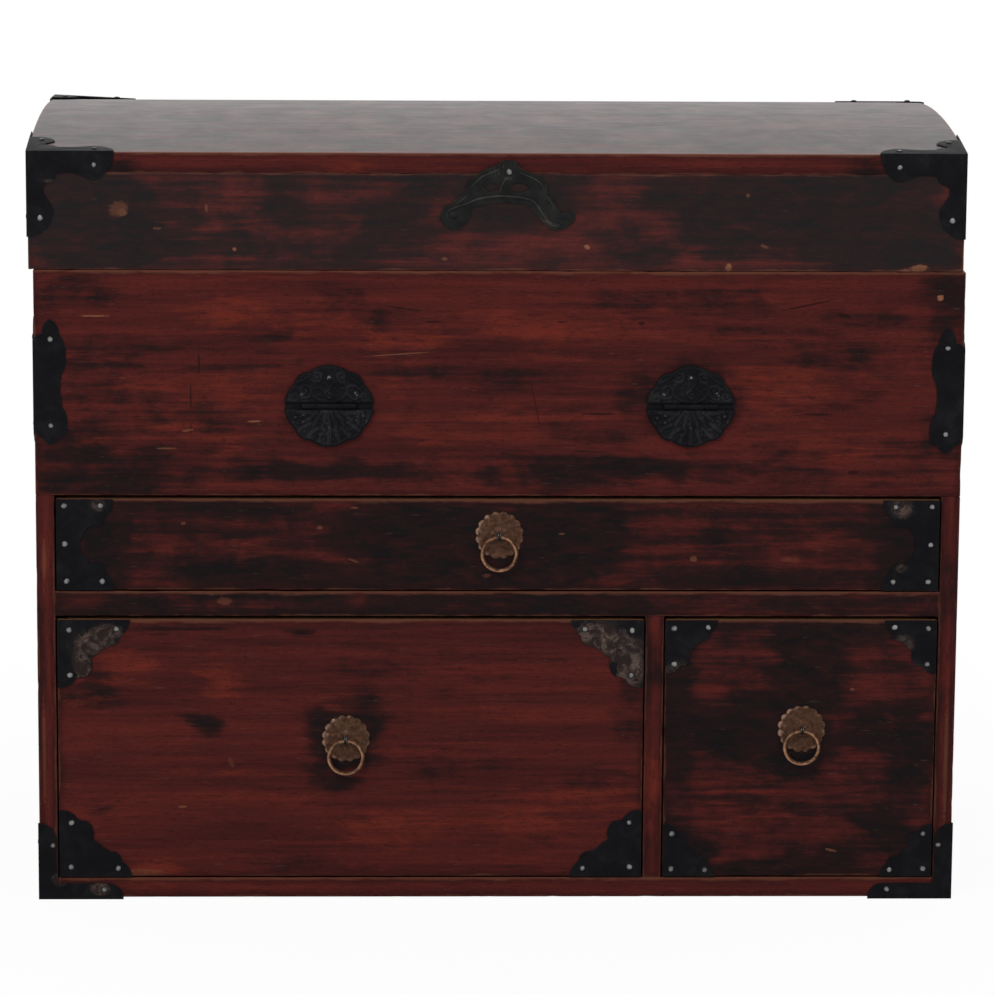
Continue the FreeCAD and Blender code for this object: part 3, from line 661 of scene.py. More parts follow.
# A wire along a line: the first of its half sizes lies along the side vector, the second across it
def sweep(points, along, across, side, sides=10, closed=False):
    shape = bmesh.new()
    rings = []
    count = len(points)
    for i, point in enumerate(points):
        before = points[i - 1] if closed or i > 0 else point
        after = points[(i + 1) % count] if closed or i < count - 1 else point
        way = (after - before).normalized()
        second = way.cross(side).normalized()
        first = second.cross(way)
        u, v = (value(i / (count - 1)) if callable(value) else value for value in (along, across))
        turns = (2 * math.pi * k / sides for k in range(sides))
        rings.append([shape.verts.new(point + first * (u * math.cos(a)) + second * (v * math.sin(a)))
                      for a in turns])
    for i in range(count if closed else count - 1):
        here, there = rings[i], rings[(i + 1) % count]
        for k in range(sides):
            shape.faces.new((here[k], here[(k + 1) % sides], there[(k + 1) % sides], there[k]))
    if not closed:
        shape.faces.new(rings[0][::-1])
        shape.faces.new(rings[-1])
    bmesh.ops.recalc_face_normals(shape, faces=shape.faces[:])
    return shape


# Boards
boards = {
    "roundness": 0.0011, "nibble": 0.0009,
    "grid": 0.007, "coarse": 0.04, "cutFrom": 0.05, # spacing of cuts, and the least side that is cut
    "edgeReach": 0.0022, "frontReach": 0.001,
    "patchDepth": 0.006, "patchEnd": 1.7, "patchFade": 1.35,
    # stains and glows on the front: x, z, half width, half height in millimetres, strength
    "stain": {
        "caseFrontBoard": (
            (-389, 547, 77, 20, .6), (-412, 614, 40, 20, .6), (-389, 520, 33, 40, .5),
            (-405, 454, 60, 27, .8), (-373, 434, 67, 20, .8), (-435, 427, 20, 13, .9),
            (-150, 607, 37, 8, .6), (-222, 570, 27, 7, .5), (-117, 587, 13, 10, .5),
            (-287, 537, 83, 6, .5), (-94, 534, 50, 8, .4), (-143, 434, 150, 15, .7),
            (-12, 527, 27, 20, .4), (194, 602, 100, 10, .45), (368, 590, 47, 10, .6),
            (286, 574, 83, 7, .35), (11, 527, 67, 13, .5), (139, 507, 20, 30, .6), (184, 540, 40, 10, .5),
            (234, 507, 10, 20, .5), (73, 434, 117, 17, .8), (99, 470, 40, 8, .5), (221, 434, 50, 13, .5),
            (335, 547, 43, 17, .5), (352, 507, 27, 10, .4), (434, 604, 30, 40, .7),
            (407, 444, 43, 20, .5), (286, 437, 50, 20, .5), (430, 454, 20, 40, .5),
            (-320, 485, 110, 36, .34)),
        "lidFrontBoard": (
            (-395, 690, 53, 43, .9), (-373, 654, 67, 20, .8), (-314, 687, 40, 30, .35),
            (-209, 697, 20, 23, .55), (-78, 704, 20, 23, .4), (-101, 684, 50, 20, .4),
            (162, 704, 30, 13, .6), (221, 694, 67, 40, .55), (319, 694, 83, 40, .85),
            (384, 670, 60, 37, .95), (129, 657, 40, 17, .5), (352, 714, 67, 20, .9),
            (7, 706, 60, 26, .75), (-197, 665, 120, 32, .34)),
        "lidTopBoard": ((-405, 734, 47, 10, .9), (358, 734, 27, 10, .8), (221, 737, 40, 7, .3)),
        # the patches at (-59, 362), (60, 368), (-156, 160) and (300, 168) lie round the rosettes: partly dirt
        # and partly a painted shadow of the rosette and its ring
        "drawerWideFront": (
            (-410, 362, 37, 50, .9), (-59, 362, 77, 43, .85), (60, 368, 53, 47, .95),
            (-239, 335, 100, 13, .5), (-305, 398, 100, 8, .5), (224, 328, 133, 8, .5),
            (411, 362, 33, 47, .6)),
        "caseRailMiddle": ((-361, 298, 87, 13, .8), (-141, 298, 133, 12, .7), (66, 302, 87, 13, .8)),
        "drawerLeftFront": (
            (-404, 215, 30, 20, .6), (-289, 180, 21, 12, .95), (-156, 160, 34, 50, 1.1),
            (-137, 205, 20, 10, .8), (-193, 272, 13, 5, .9), (-312, 274, 67, 5, .6),
            (-42, 205, 27, 13, .5), (-59, 142, 33, 20, .35), (-397, 95, 17, 10, .6),
            (-174, 32, 67, 10, .4), (129, 178, 20, 20, .6), (132, 218, 13, 20, .8), (7, 142, 27, 17, .35),
            (103, 125, 40, 13, .3), (-54, 225, 120, 30, .32)),
        "drawerRightFront": (
            (310, 258, 37, 30, .9), (224, 172, 60, 20, .8), (310, 218, 27, 20, .9),
            (300, 168, 30, 42, 1.0), (356, 278, 50, 13, .8), (178, 185, 17, 100, .6),
            (250, 192, 27, 20, .7), (365, 175, 33, 20, .5), (411, 152, 23, 53, .6), (198, 42, 20, 13, .8),
            (290, 32, 83, 10, .7), (323, 45, 40, 10, .5), (382, 72, 30, 20, .6), (224, 278, 50, 8, .6)),
        "casePartition": ((155, 245, 13, 47, .8), (153, 45, 10, 20, .6)),
        "caseSideLeft": ((-446, 258, 10, 53, .8), (-446, 205, 10, 13, .4)),
        "caseSideRight": ((446, 318, 10, 60, .5), (441, 185, 7, 50, .6)),
        "caseRailBottom": ((-141, 14, 100, 7, .4), (323, 14, 67, 7, .3)),
    },
    "glow": {
        "caseFrontBoard": (
            (-268, 594, 43, 20, .6), (-176, 580, 50, 17, .6), (-94, 567, 67, 17, .6),
            (-258, 507, 40, 20, .6), (-330, 477, 40, 10, .6), (-402, 464, 20, 7, .8),
            (-268, 467, 20, 20, .6), (-346, 520, 30, 7, .5), (-61, 470, 40, 13, .5),
            (-274, 430, 27, 13, .4), (-94, 507, 30, 20, .45), (30, 580, 60, 17, .8),
            (122, 584, 83, 12, .45), (24, 490, 53, 17, .7), (279, 524, 53, 40, .6),
            (361, 527, 27, 13, .45), (319, 460, 40, 20, .5), (40, 547, 40, 10, .5),
            (345, 580, 33, 10, .3), (194, 564, 67, 8, .4), (73, 420, 40, 7, .5), (221, 620, 100, 7, .3)),
        "lidFrontBoard": ((-163, 717, 20, 8, .8), (-300, 677, 50, 17, .3), (-176, 677, 50, 20, .25),
                          (40, 677, 60, 20, .3), (155, 660, 40, 13, .3)),
        "lidTopBoard": ((-160, 737, 40, 8, .9), (-307, 737, 40, 7, .35), (57, 734, 50, 7, .3)),
        "drawerWideFront": (
            (-285, 372, 67, 17, .7), (-351, 355, 33, 17, .5), (-174, 375, 43, 13, .6),
            (-141, 345, 20, 13, .5), (-12, 330, 10, 5, .9), (158, 368, 27, 17, .6),
            (198, 365, 27, 17, .4), (316, 375, 53, 17, .7), (224, 345, 67, 10, .4),
            (290, 352, 67, 17, .4)),
        "caseRailMiddle": ((-269, 304, 10, 7, .8), (290, 305, 133, 10, .5)),
        "drawerLeftFront": (
            (-272, 225, 27, 17, .8), (-361, 238, 27, 17, .6), (-404, 202, 20, 8, .6),
            (-91, 68, 83, 20, .5), (93, 102, 50, 20, .6), (27, 85, 50, 27, .6), (14, 45, 33, 13, .4),
            (-239, 118, 83, 20, .3), (-341, 30, 25, 7, 1.)),
        "drawerRightFront": (
            (224, 232, 40, 17, .6), (342, 245, 30, 13, .6), (408, 212, 23, 20, .6),
            (204, 245, 20, 10, .5), (257, 98, 60, 30, .7), (224, 118, 40, 13, .5), (323, 95, 33, 17, .6),
            (204, 85, 20, 20, .5), (336, 48, 13, 4, .8)),
        "casePartition": ((153, 122, 10, 50, 1.), (149, 58, 10, 10, .5)),
        "caseSideLeft": ((-446, 345, 10, 33, .4), (-450, 135, 7, 40, .4)),
        "caseSideRight": ((446, 108, 7, 30, .9), (448, 232, 7, 20, .5)),
        "caseRailBottom": ((-344, 17, 37, 7, .9), (20, 14, 50, 7, .6), (-239, 14, 50, 7, .4)),
    },
    # how far a board is blackened all over, and the boards that shine more than the rest
    "dim": {"lidTopBoard": 0.74, "lidFrontBoard": 0.46, "drawerWideFront": 0.61, "drawerRightFront": 0.51,
            "caseRailMiddle": 0.62, "caseFrontBoard": 0.08},
    "sheen": {"lidTopBoard": 0.52, "lidFrontBoard": 0.11},
    # boards whose edges stand in narrow gaps, where faces deep in a gap get a painted shadow
    "gapShade": ("drawerWideFront", "drawerLeftFront", "drawerRightFront", "caseRailMiddle", "caseRailBottom",
               "casePartition"),
}


# How strongly the patches cover each point, with ragged edges drawn out along the grain
def covered(points, patches, seed):
    total = np.zeros(len(points))
    if not patches:
        return total
    for index, (x, y, z) in enumerate(points):
        if y > frontY + boards["patchDepth"]:
            continue
        wobble = 0.55 * noise.noise(Vector((x * 14 + seed, z * 42, seed)))
        wobble += 0.35 * noise.noise(Vector((x * 42, z * 120 + seed, seed)))
        u, v = (x - middleX) * 1000, z * 1000
        for px, pz, wide, high, strength in patches:
            gap = math.hypot((u - px) / wide, (v - pz) / high) + wobble
            share = min(1.0, max(0.0, (boards["patchEnd"] - gap) / boards["patchFade"]))
            total[index] = max(total[index], strength * share * share * (3 - 2 * share))
    return total


# Writes what the wood finishes read, nibbles the edges and names the bare faces
def board(name, shape, grain, bare=(), flatten=None, fine=False):
    seed = sum(ord(letter) for letter in name)
    spacing = boards["grid"] if fine else boards["coarse"]
    low = np.array([min(v.co[i] for v in shape.verts) for i in range(3)])
    high = np.array([max(v.co[i] for v in shape.verts) for i in range(3)])
    roundEdges(shape, boards["roundness"])
    for axis in range(3):
        if high[axis] - low[axis] > boards["cutFrom"]:
            cutAcross(shape, axis, spacing if axis != 1 else boards["coarse"])
    shape.normal_update()
    for face in shape.faces:
        if any(face.normal.dot(Vector(side)) > 0.8 for side in bare):
            face.material_index = 1
    centre, half = (low + high) / 2, (high - low) / 2
    for vert in shape.verts:
        gaps = sorted(half - np.abs(np.array(vert.co) - centre))
        if gaps[1] < boards["edgeReach"]:
            bite = noise.noise(vert.co * 60 + Vector((seed, 0, 0))) + 0.5 * noise.noise(vert.co * 210)
            vert.co -= vert.normal * boards["nibble"] * max(0.0, bite - 0.25)
    finish = plainLacquer
    if fine and low[1] < frontY + boards["frontReach"]:
        finish = lacquer(name + "Lacquer", lacquerLook, marksOn(lacquerLook["chips"], low, high),
                         marksOn(lacquerLook["cuts"], low, high), boards["sheen"].get(name))
    piece = toObject(shape, name, [finish, bareFinish])
    points = pointsOf(piece.data)
    spot = points - centre
    if flatten:
        spot[:, 2] -= np.array([flatten(y) for y in points[:, 1]])
        half = half.copy()
        half[2] = flatten(None)
    order = [grain] + [i for i in range(3) if i != grain]
    writeAttribute(piece.data, "grain", points[:, order] + seed * 0.37, "FLOAT_VECTOR")
    writeAttribute(piece.data, "spot", spot, "FLOAT_VECTOR")
    writeAttribute(piece.data, "half", half, "FLOAT_VECTOR")
    writeAttribute(piece.data, "dim", boards["dim"].get(name, 0.0))
    writeAttribute(piece.data, "tone", seed * 0.37 % 1)
    writeAttribute(piece.data, "gapShade", float(name in boards["gapShade"]))
    for kind in ("stain", "glow"):
        writeAttribute(piece.data, kind, covered(points, boards[kind].get(name), seed))
    return piece


def plainBoard(name, points, grain, bare=(), fine=False, ends=None):
    low, high = points.min(0), points.max(0)
    if ends:
        low[0], high[0] = max(low[0], ends[0]), min(high[0], ends[1])
    return board(name, block(low, high), grain, bare, fine=fine)


allWays = ((1, 0, 0), (-1, 0, 0), (0, 1, 0), (0, -1, 0), (0, 0, 1), (0, 0, -1))
betweenSides = (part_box("case_side_left")[1].x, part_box("case_side_right")[0].x)

node = "case_front_board"
settle(plainBoard(camel(node), solidsOf(node)[0], 0, [(0, 1, 0)], fine=True), node)

# The sides are notched at the top front for the front board
for node, inward in (("case_side_left", 1), ("case_side_right", -1)):
    low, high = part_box(node)
    outline = [(low.y, low.z), (high.y, low.z), (high.y, high.z), (frontHigh.y, high.z),
               (frontHigh.y, frontLow.z), (low.y, frontLow.z)]
    piece = board(camel(node), prism(outline, 0, low.x, high.x), 2, [(inward, 0, 0)], fine=True)
    settle(piece, node)

for node in ("case_rail_bottom", "case_rail_middle"):
    piece = plainBoard(camel(node), solidsOf(node)[0], 0, [(0, 1, 0)], fine=True, ends=betweenSides)
    settle(piece, node)

node = "case_partition"
low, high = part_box(node)
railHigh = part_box("case_rail_bottom")[1]
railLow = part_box("case_rail_middle")[0]
outline = [(low.y, low.z), (high.y, low.z), (high.y, high.z), (railHigh.y, high.z), (railHigh.y, railLow.z),
           (low.y, railLow.z)]
piece = board(camel(node), prism(outline, 0, low.x, high.x), 2, [(1, 0, 0), (-1, 0, 0), (0, 1, 0)], fine=True)
settle(piece, node)

for node in ("case_bottom_board", "case_shelf_board", "case_floor_board"):
    settle(plainBoard(camel(node), solidsOf(node)[0], 0, allWays), node)

# The back's three planks touch, so they are parted at thirds of their height
low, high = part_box("case_back_boards")
planks = []
for number in range(3):
    bottom, top = (low.z + (high.z - low.z) * step / 3 for step in (number, number + 1))
    shape = block((betweenSides[0], low.y, bottom), (betweenSides[1], high.y, top))
    planks.append(board(f"backPlank{number}", shape, 0, allWays))
settle(join("caseBackBoards", planks), "case_back_boards")
print("case boards made")


# Lid
lidLow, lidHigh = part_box("lid_top_board")
lidShape = {"rise": 0.014, "thickness": 0.020, "steps": 46, "boards": 0.015, "edge": 0.003, "edgeDim": 0.15,
            "edgeFacing": 0.6}
lidShape["radius"] = (((lidHigh.y - lidLow.y) / 2) ** 2 + lidShape["rise"] ** 2) / (2 * lidShape["rise"])


def domeHeight(y, below=0.0):
    middle = (lidLow.y + lidHigh.y) / 2
    return lidHigh.z - lidShape["radius"] + math.sqrt((lidShape["radius"] - below) ** 2 - (y - middle) ** 2)


def domeLine(start, end, below):
    steps = lidShape["steps"]
    places = [start + (end - start) * i / steps for i in range(steps + 1)]
    return [(y, domeHeight(y, below)) for y in places]


# How far the middle of the curved board's thickness stands off the middle of its box
def domeSpot(y):
    if y is None:
        return lidShape["thickness"] / 2
    return domeHeight(y) - lidShape["thickness"] / 2 - (lidLow.z + lidHigh.z) / 2


thick = lidShape["thickness"]
outline = domeLine(lidLow.y, lidHigh.y, 0) + domeLine(lidHigh.y, lidLow.y, thick)
top = board("lidTopBoard", prism(outline, 0, lidLow.x, lidHigh.x), 0, [(0, 0, -1)], domeSpot, fine=True)

# Its edges shine no more than the other boards
top.data.materials.append(plainLacquer)
for face in top.data.polygons:
    if abs(face.normal.z) < lidShape["edgeFacing"]:
        face.material_index = 2
places = pointsOf(top.data)
inset = lidShape["edge"]
edge = ((places.min(0) + inset > places) | (places.max(0) - inset < places))[:, :2].any(1)
dims = np.where(edge, lidShape["edgeDim"], boards["dim"]["lidTopBoard"])
top.data.attributes["dim"].data.foreach_set("value", dims)
settle(top, "lid_top_board")

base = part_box("lid_front_board")[0].z
wall = lidShape["boards"]
for node, start, end, inside in (("lid_front_board", lidLow.y, lidLow.y + wall, (0, 1, 0)),
                                 ("lid_back_board", lidHigh.y - wall, lidHigh.y, (0, -1, 0))):
    outline = [(start, base), (end, base), (end, domeHeight(end, thick)), (start, domeHeight(start, thick))]
    piece = board(camel(node), prism(outline, 0, lidLow.x, lidHigh.x), 0, [inside], fine=True)
    settle(piece, node)
for node, inside in (("lid_end_left", (1, 0, 0)), ("lid_end_right", (-1, 0, 0))):
    low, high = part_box(node)
    outline = [(low.y, base), (high.y, base)] + domeLine(high.y, low.y, thick)
    settle(board(camel(node), prism(outline, 0, low.x, high.x), 1, [inside]), node)
print("lid made")


# Drawers
drawers = {"play": 0.0006, "playBelow": 0.0012}    # the fronts are planed smaller by this, worn as they are
for title in ("wide", "left", "right"):
    node = "drawer_" + title
    label = camel(node)
    low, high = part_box(node + "_front")
    sides = solidsOf(node + "_sides")
    bottom = solidsOf(node + "_bottom")[0]
    lap, floorTop = sides[0][:, 1].min(), bottom[:, 2].max()
    inLeft, inRight = sides[0][:, 0].max(), sides[1][:, 0].min()
    play = drawers["play"]
    start = (low.x + play, low.y, low.z + drawers["playBelow"])
    end = (high.x - play, lap, high.z - play)
    face = board(label + "Front", block(start, end), 0, [(0, 1, 0), (0, 0, 1)], fine=True)
    inner = board(label + "Inner", block((inLeft, lap, floorTop), (inRight, high.y, high.z)), 0, allWays)
    settle(join(label + "Front", [face, inner]), node + "_front")
    walls = [plainBoard(f"{label}Side{number}", points, 1, allWays) for number, points in enumerate(sides)]
    settle(join(label + "Sides", walls), node + "_sides")
    back = plainBoard(label + "Back", solidsOf(node + "_back")[0], 0, allWays)
    settle(back, node + "_back")
    settle(plainBoard(label + "Bottom", bottom, 1, allWays), node + "_bottom")
print("drawers made")


# Iron plates
plates = {"rim": 0.00045, "lift": 0.004, "liftWidth": 0.075, "liftBelow": 0.02, "flat": 0.02, "sharp": 0.5}
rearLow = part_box("lid_plates_rear")[0]


# The rear left corner plate of the lid stands a little proud, as if it had been levered up
def lifted(point):
    top = lidHigh.z - plates["liftBelow"]
    if point.x > rearLow.x + plates["liftWidth"] or point.z < top or point.y < rearLow.y:
        return Vector((0, 0, 0))
    away = 1 - (point.x - rearLow.x) / plates["liftWidth"]
    back = (point.y - rearLow.y) / (lidHigh.y - rearLow.y)
    return Vector((0, 0, plates["lift"] * away * back))


# A plate node with its edges eased, in one dark finish with lighter rims
def dressPlates(node):
    shape = meshOf(node)
    bmesh.ops.dissolve_limit(shape, angle_limit=plates["flat"], verts=shape.verts, edges=shape.edges)
    roundEdges(shape, plates["rim"], 2, 1, plates["sharp"])
    if node == "lid_plates_rear":
        bmesh.ops.triangulate(shape, faces=shape.faces[:])
        for vert in shape.verts:
            vert.co += lifted(vert.co)
    low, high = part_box(node)
    worn = marksOn(ironLook["worn"], low, high) if low.y < frontY else ()
    finish = blackIron(camel(node) + "Iron", ironLook, worn) if worn else ironFinish
    settle(toObject(shape, camel(node), [finish, rimFinish]), node)


for node in ("lid_plates_front", "lid_plates_rear", "middle_plates", "base_plates_front", "base_plates_rear",
             "drawer_wide_plates", "drawer_left_plates", "drawer_right_plates"):
    dressPlates(node)
print("plates made")


# Nails
nails = {"Radius": 0.0033, "Flatness": 0.45, "Unevenness": 0.0008, "Seed": 11}
nailSizes = ((0.86, 0.86, 0.8), (1.12, 1.12, 1.15))
nailTurns = ((0.0, 0.0, -3.1), (0.0, 0.0, 3.1))
nailDents = {"Scale": 420.0, "Detail": 1.0}


# One low domed head on every point of a mesh, turned to the point's outward direction
def nailTree():
    tree = bpy.data.node_groups.new("domedNails", "GeometryNodeTree")
    tree.interface.new_socket("Geometry", in_out="INPUT", socket_type="NodeSocketGeometry")
    for name, value in nails.items():
        kind = "NodeSocketInt" if isinstance(value, int) else "NodeSocketFloat"
        tree.interface.new_socket(name, in_out="INPUT", socket_type=kind).default_value = value
    tree.interface.new_socket("Geometry", in_out="OUTPUT", socket_type="NodeSocketGeometry")

    def socket(row, key):
        return row[key] if isinstance(key, int) else next(s for s in row if s.name == key and s.enabled)

    def node(kind, settings=None, values=None, output=0):
        made = tree.nodes.new(kind)
        for key, value in (settings or {}).items():
            setattr(made, key, value)
        for key, value in (values or {}).items():
            if isinstance(value, bpy.types.NodeSocket):
                tree.links.new(value, socket(made.inputs, key))
            else:
                socket(made.inputs, key).default_value = value
        return socket(made.outputs, output) if made.outputs else made

    def given(name):
        return node("NodeGroupInput", output=name)

    def crowned(geometry, value):
        return node("GeometryNodeStoreNamedAttribute", {"data_type": "FLOAT", "domain": "POINT"},
                    {"Geometry": geometry, "Name": "crown", "Value": value})

    def named(name, kind="FLOAT"):
        return node("GeometryNodeInputNamedAttribute", {"data_type": kind}, {"Name": name}, "Attribute")

    def chance(least, most):
        return node("FunctionNodeRandomValue", {"data_type": "FLOAT_VECTOR"},
                    {"Min": least, "Max": most, "Seed": given("Seed")}, "Value")

    def combine(kind, operation, a, b, place=1):
        return node(kind, {"operation": operation}, {0: a, place: b})

    ball = node("GeometryNodeMeshUVSphere", {}, {"Segments": 12, "Rings": 8, "Radius": given("Radius")})
    squash = node("ShaderNodeCombineXYZ", {}, {"X": 1.0, "Y": 1.0, "Z": given("Flatness")})
    head = node("GeometryNodeTransform", {}, {"Geometry": ball, "Scale": squash})
    height = node("ShaderNodeSeparateXYZ", {}, {0: node("GeometryNodeInputPosition")}, "Z")
    full = combine("ShaderNodeMath", "MULTIPLY", given("Radius"), given("Flatness"))
    kept = crowned(head, combine("ShaderNodeMath", "DIVIDE", height, full))
    outward = named("outward", "FLOAT_VECTOR")
    turn = node("FunctionNodeAlignRotationToVector", {"axis": "Z"}, {"Vector": outward})
    turned = node("FunctionNodeRotateRotation", {"rotation_space": "LOCAL"}, {0: turn, 1: chance(*nailTurns)})
    spread = node("GeometryNodeInstanceOnPoints", {}, {"Points": given("Geometry"), "Instance": kept,
                                                       "Rotation": turned, "Scale": chance(*nailSizes)})
    whole = node("GeometryNodeRealizeInstances", {}, {0: spread})
    whole = crowned(whole, combine("ShaderNodeMath", "MULTIPLY", named("crown"), named("shine")))
    rough = node("ShaderNodeTexNoise", {}, nailDents, "Color")
    middle = combine("ShaderNodeVectorMath", "SUBTRACT", rough, (0.5, 0.5, 0.5))
    shift = combine("ShaderNodeVectorMath", "SCALE", middle, given("Unevenness"), 3)
    dented = node("GeometryNodeSetPosition", {}, {"Geometry": whole, "Offset": shift})
    smooth = node("GeometryNodeSetShadeSmooth", {}, {0: dented})
    coat = node("GeometryNodeSetMaterial", {}, {"Geometry": smooth, "Material": nailFinish})
    node("NodeGroupOutput", {}, {0: coat})
    return tree


# Where each nail meets its plate and which way its head points, from its CAD solid
def nailSpots(node):
    spots, ways = [], []
    for points in solidsOf(node):
        centre = points.mean(0)
        axis = np.linalg.svd(points - centre, full_matrices=False)[2][0]
        along = (points - centre) @ axis
        off = np.linalg.norm(points - centre - along[:, None] * axis, axis=1)
        rim = off > off.max() - 2e-4
        if along[rim].mean() < 0:
            axis, along = -axis, -along
        spot = Vector(centre + axis * along[rim].mean())
        spots.append(spot + lifted(spot))
        ways.append(axis)
    return spots, np.array(ways)


pullLow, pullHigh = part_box("round_backplates")
ornamentLow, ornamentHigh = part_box("lid_ornament")


# Nails are black in the round pulls and at the two ends of the lid ornament, and worn elsewhere
def nailShine(spot):
    if spot.y > frontY + 0.01:
        return 0.75
    if pullLow.x < spot.x < pullHigh.x and pullLow.z < spot.z < pullHigh.z:
        return 0.6
    if ornamentLow.x < spot.x < ornamentHigh.x and ornamentLow.z < spot.z < ornamentLow.z + 0.03:
        return 0.3
    return 0.85 + 0.25 * noise.noise(spot * 31)


tree = nailTree()
inputs = {item.name: item.identifier for item in tree.interface.items_tree if item.in_out == "INPUT"}
for node in ("case_nails", "lid_nails", "drawer_wide_nails", "drawer_left_nails", "drawer_right_nails"):
    spots, ways = nailSpots(node)
    mesh = bpy.data.meshes.new("nailSpots")
    mesh.from_pydata([tuple(spot) for spot in spots], [], [])
    writeAttribute(mesh, "outward", ways, "FLOAT_VECTOR")
    writeAttribute(mesh, "shine", [nailShine(spot) for spot in spots])
    marks = addObject("nailSpots", mesh)
    maker = marks.modifiers.new("nails", "NODES")
    maker.node_group = tree
    for label, value in nails.items():
        maker[inputs[label]] = value
    made = bpy.data.meshes.new_from_object(marks.evaluated_get(bpy.context.evaluated_depsgraph_get()))
    made.name = camel(node)
    marks.modifiers.clear()
    bpy.data.objects.remove(marks)
    settle(addObject(camel(node), made), node)
    print(camel(node), len(spots), "nails,", len(made.polygons), "faces")


# Ring pulls
pulls = {"petals": 16, "rings": 30, "steps": 160, "notch": 0.92, "sheet": 0.0014, "boss": 0.0016,
         "bossShare": 0.36, "relief": 0.0009, "unevenness": 0.0006, "ringSteps": 96,
         "gauge": 0.0008, "apart": 0.0001, "loopSteps": 24}


# Height of a rosette at a share of its radius and a share of a full turn, and its crown value: rubbing, with
# a painted highlight on the lobes of its left side
def petalHeight(share, turn, seed):
    bulge = math.sin(math.pi * ((turn * pulls["petals"]) % 1.0))
    inner = abs(math.sin(math.pi * (turn * pulls["petals"] / 2 + 0.25)))
    edge = math.exp(-((share - 0.93) / 0.06) ** 2)
    outerPart = max(0.0, min(1.0, (share - 0.6) / 0.12))
    innerPart = 1 - outerPart
    height = outerPart * (0.35 + 0.5 * bulge ** 0.6 - 0.25 * (1 - share)) + edge * 0.25 * bulge
    height += innerPart * (0.35 + 0.55 * inner * math.sin(math.pi * min(1, share / 0.62)) ** 0.5)
    angle = 2 * math.pi * turn
    wear = noise.noise(Vector((share * 6 * math.cos(angle) + seed, share * 6 * math.sin(angle), seed)))
    # painted highlight: the outer lobes get more crown on the left side
    paintedHighlight = 0.55 + 0.6 * max(0.0, math.sin(angle + 2.95))
    crown = 0.15 + outerPart * (0.45 * bulge + 0.5 * edge) * paintedHighlight + innerPart * 0.18 * inner + wear * 0.35
    return height, crown


def buildRosette(title):
    node = f"drawer_{title}_rosette"
    low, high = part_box(node)
    middle = Vector(((low.x + high.x) / 2, high.y, (low.z + high.z) / 2))
    radius = (high.x - low.x) / 2
    shape = bmesh.new()
    crowns, rows = [], []
    steps, rings = pulls["steps"], pulls["rings"]
    for ring in range(1, rings + 1):
        share = ring / rings
        row = []
        for step in range(steps):
            turn = step / steps
            angle = 2 * math.pi * turn
            bulge = math.sin(math.pi * ((turn * pulls["petals"]) % 1.0))
            out = radius * share * (1 - (1 - bulge) * (1 - pulls["notch"]) * share ** 2)
            height, crown = petalHeight(share, turn, len(title))
            rise = max(0.0, 1 - (share / pulls["bossShare"]) ** 2)
            lift = pulls["sheet"] * 0.45 + pulls["relief"] * height * min(1, (1.02 - share) * 14)
            lift += (pulls["boss"] + pulls["sheet"] * 0.3) * rise ** 0.7
            point = Vector((math.sin(angle) * out, -lift, math.cos(angle) * out))
            row.append(shape.verts.new(middle + point))
            crowns.append(crown + 0.3 * rise)
        rows.append(row)
    top = shape.verts.new(middle - Vector((0, pulls["sheet"] + pulls["boss"], 0)))
    foot = [shape.verts.new((v.co.x, middle.y, v.co.z)) for v in rows[-1]]
    crowns += [0.4] + [0.0] * steps
    fan(shape, top, rows + [foot], closed=True)
    shape.faces.new(foot)
    bmesh.ops.recalc_face_normals(shape, faces=shape.faces[:])
    piece = toObject(shape, camel(node), [rosetteFinish], smooth=True)
    writeAttribute(piece.data, "crown", crowns)
    settle(piece, node)


# Painted highlight: the crown value, and so the bright colour, is highest where the wire faces the given way
def highlightByNormal(piece, way, most=0.9):
    normals = np.zeros(len(piece.data.vertices) * 3)
    piece.data.vertex_normals.foreach_get("vector", normals)
    facing = normals.reshape(-1, 3) @ np.array(Vector(way).normalized())
    least = 0.15
    writeAttribute(piece.data, "crown", least + (most - least) * np.clip(facing, 0, 1))


def buildRing(title):
    node = "ring_" + title
    low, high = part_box(node)
    middle = (low + high) / 2
    wire = (high.y - low.y) / 2
    radius = (high.x - low.x) / 2 - wire
    points = []
    for step in range(pulls["ringSteps"]):
        angle = 2 * math.pi * step / pulls["ringSteps"]
        ripple = noise.noise(Vector((math.cos(angle) * 1.3, math.sin(angle) * 1.3, len(title))))
        out = radius - pulls["unevenness"] * abs(ripple)
        points.append(middle + Vector((math.sin(angle) * out, 0, math.cos(angle) * out)))

    def thickness(share):
        return wire * (0.95 + 0.05 * noise.noise(Vector((share * 9, len(title), 0))))

    shape = sweep(points, thickness, thickness, Vector((0, 1, 0)), 16, closed=True)
    piece = toObject(shape, camel(node), [ringFinish], smooth=True)
    # painted highlight on the lower left front of the ring
    highlightByNormal(piece, (-0.5, -0.7, -0.5))
    settle(piece, node)


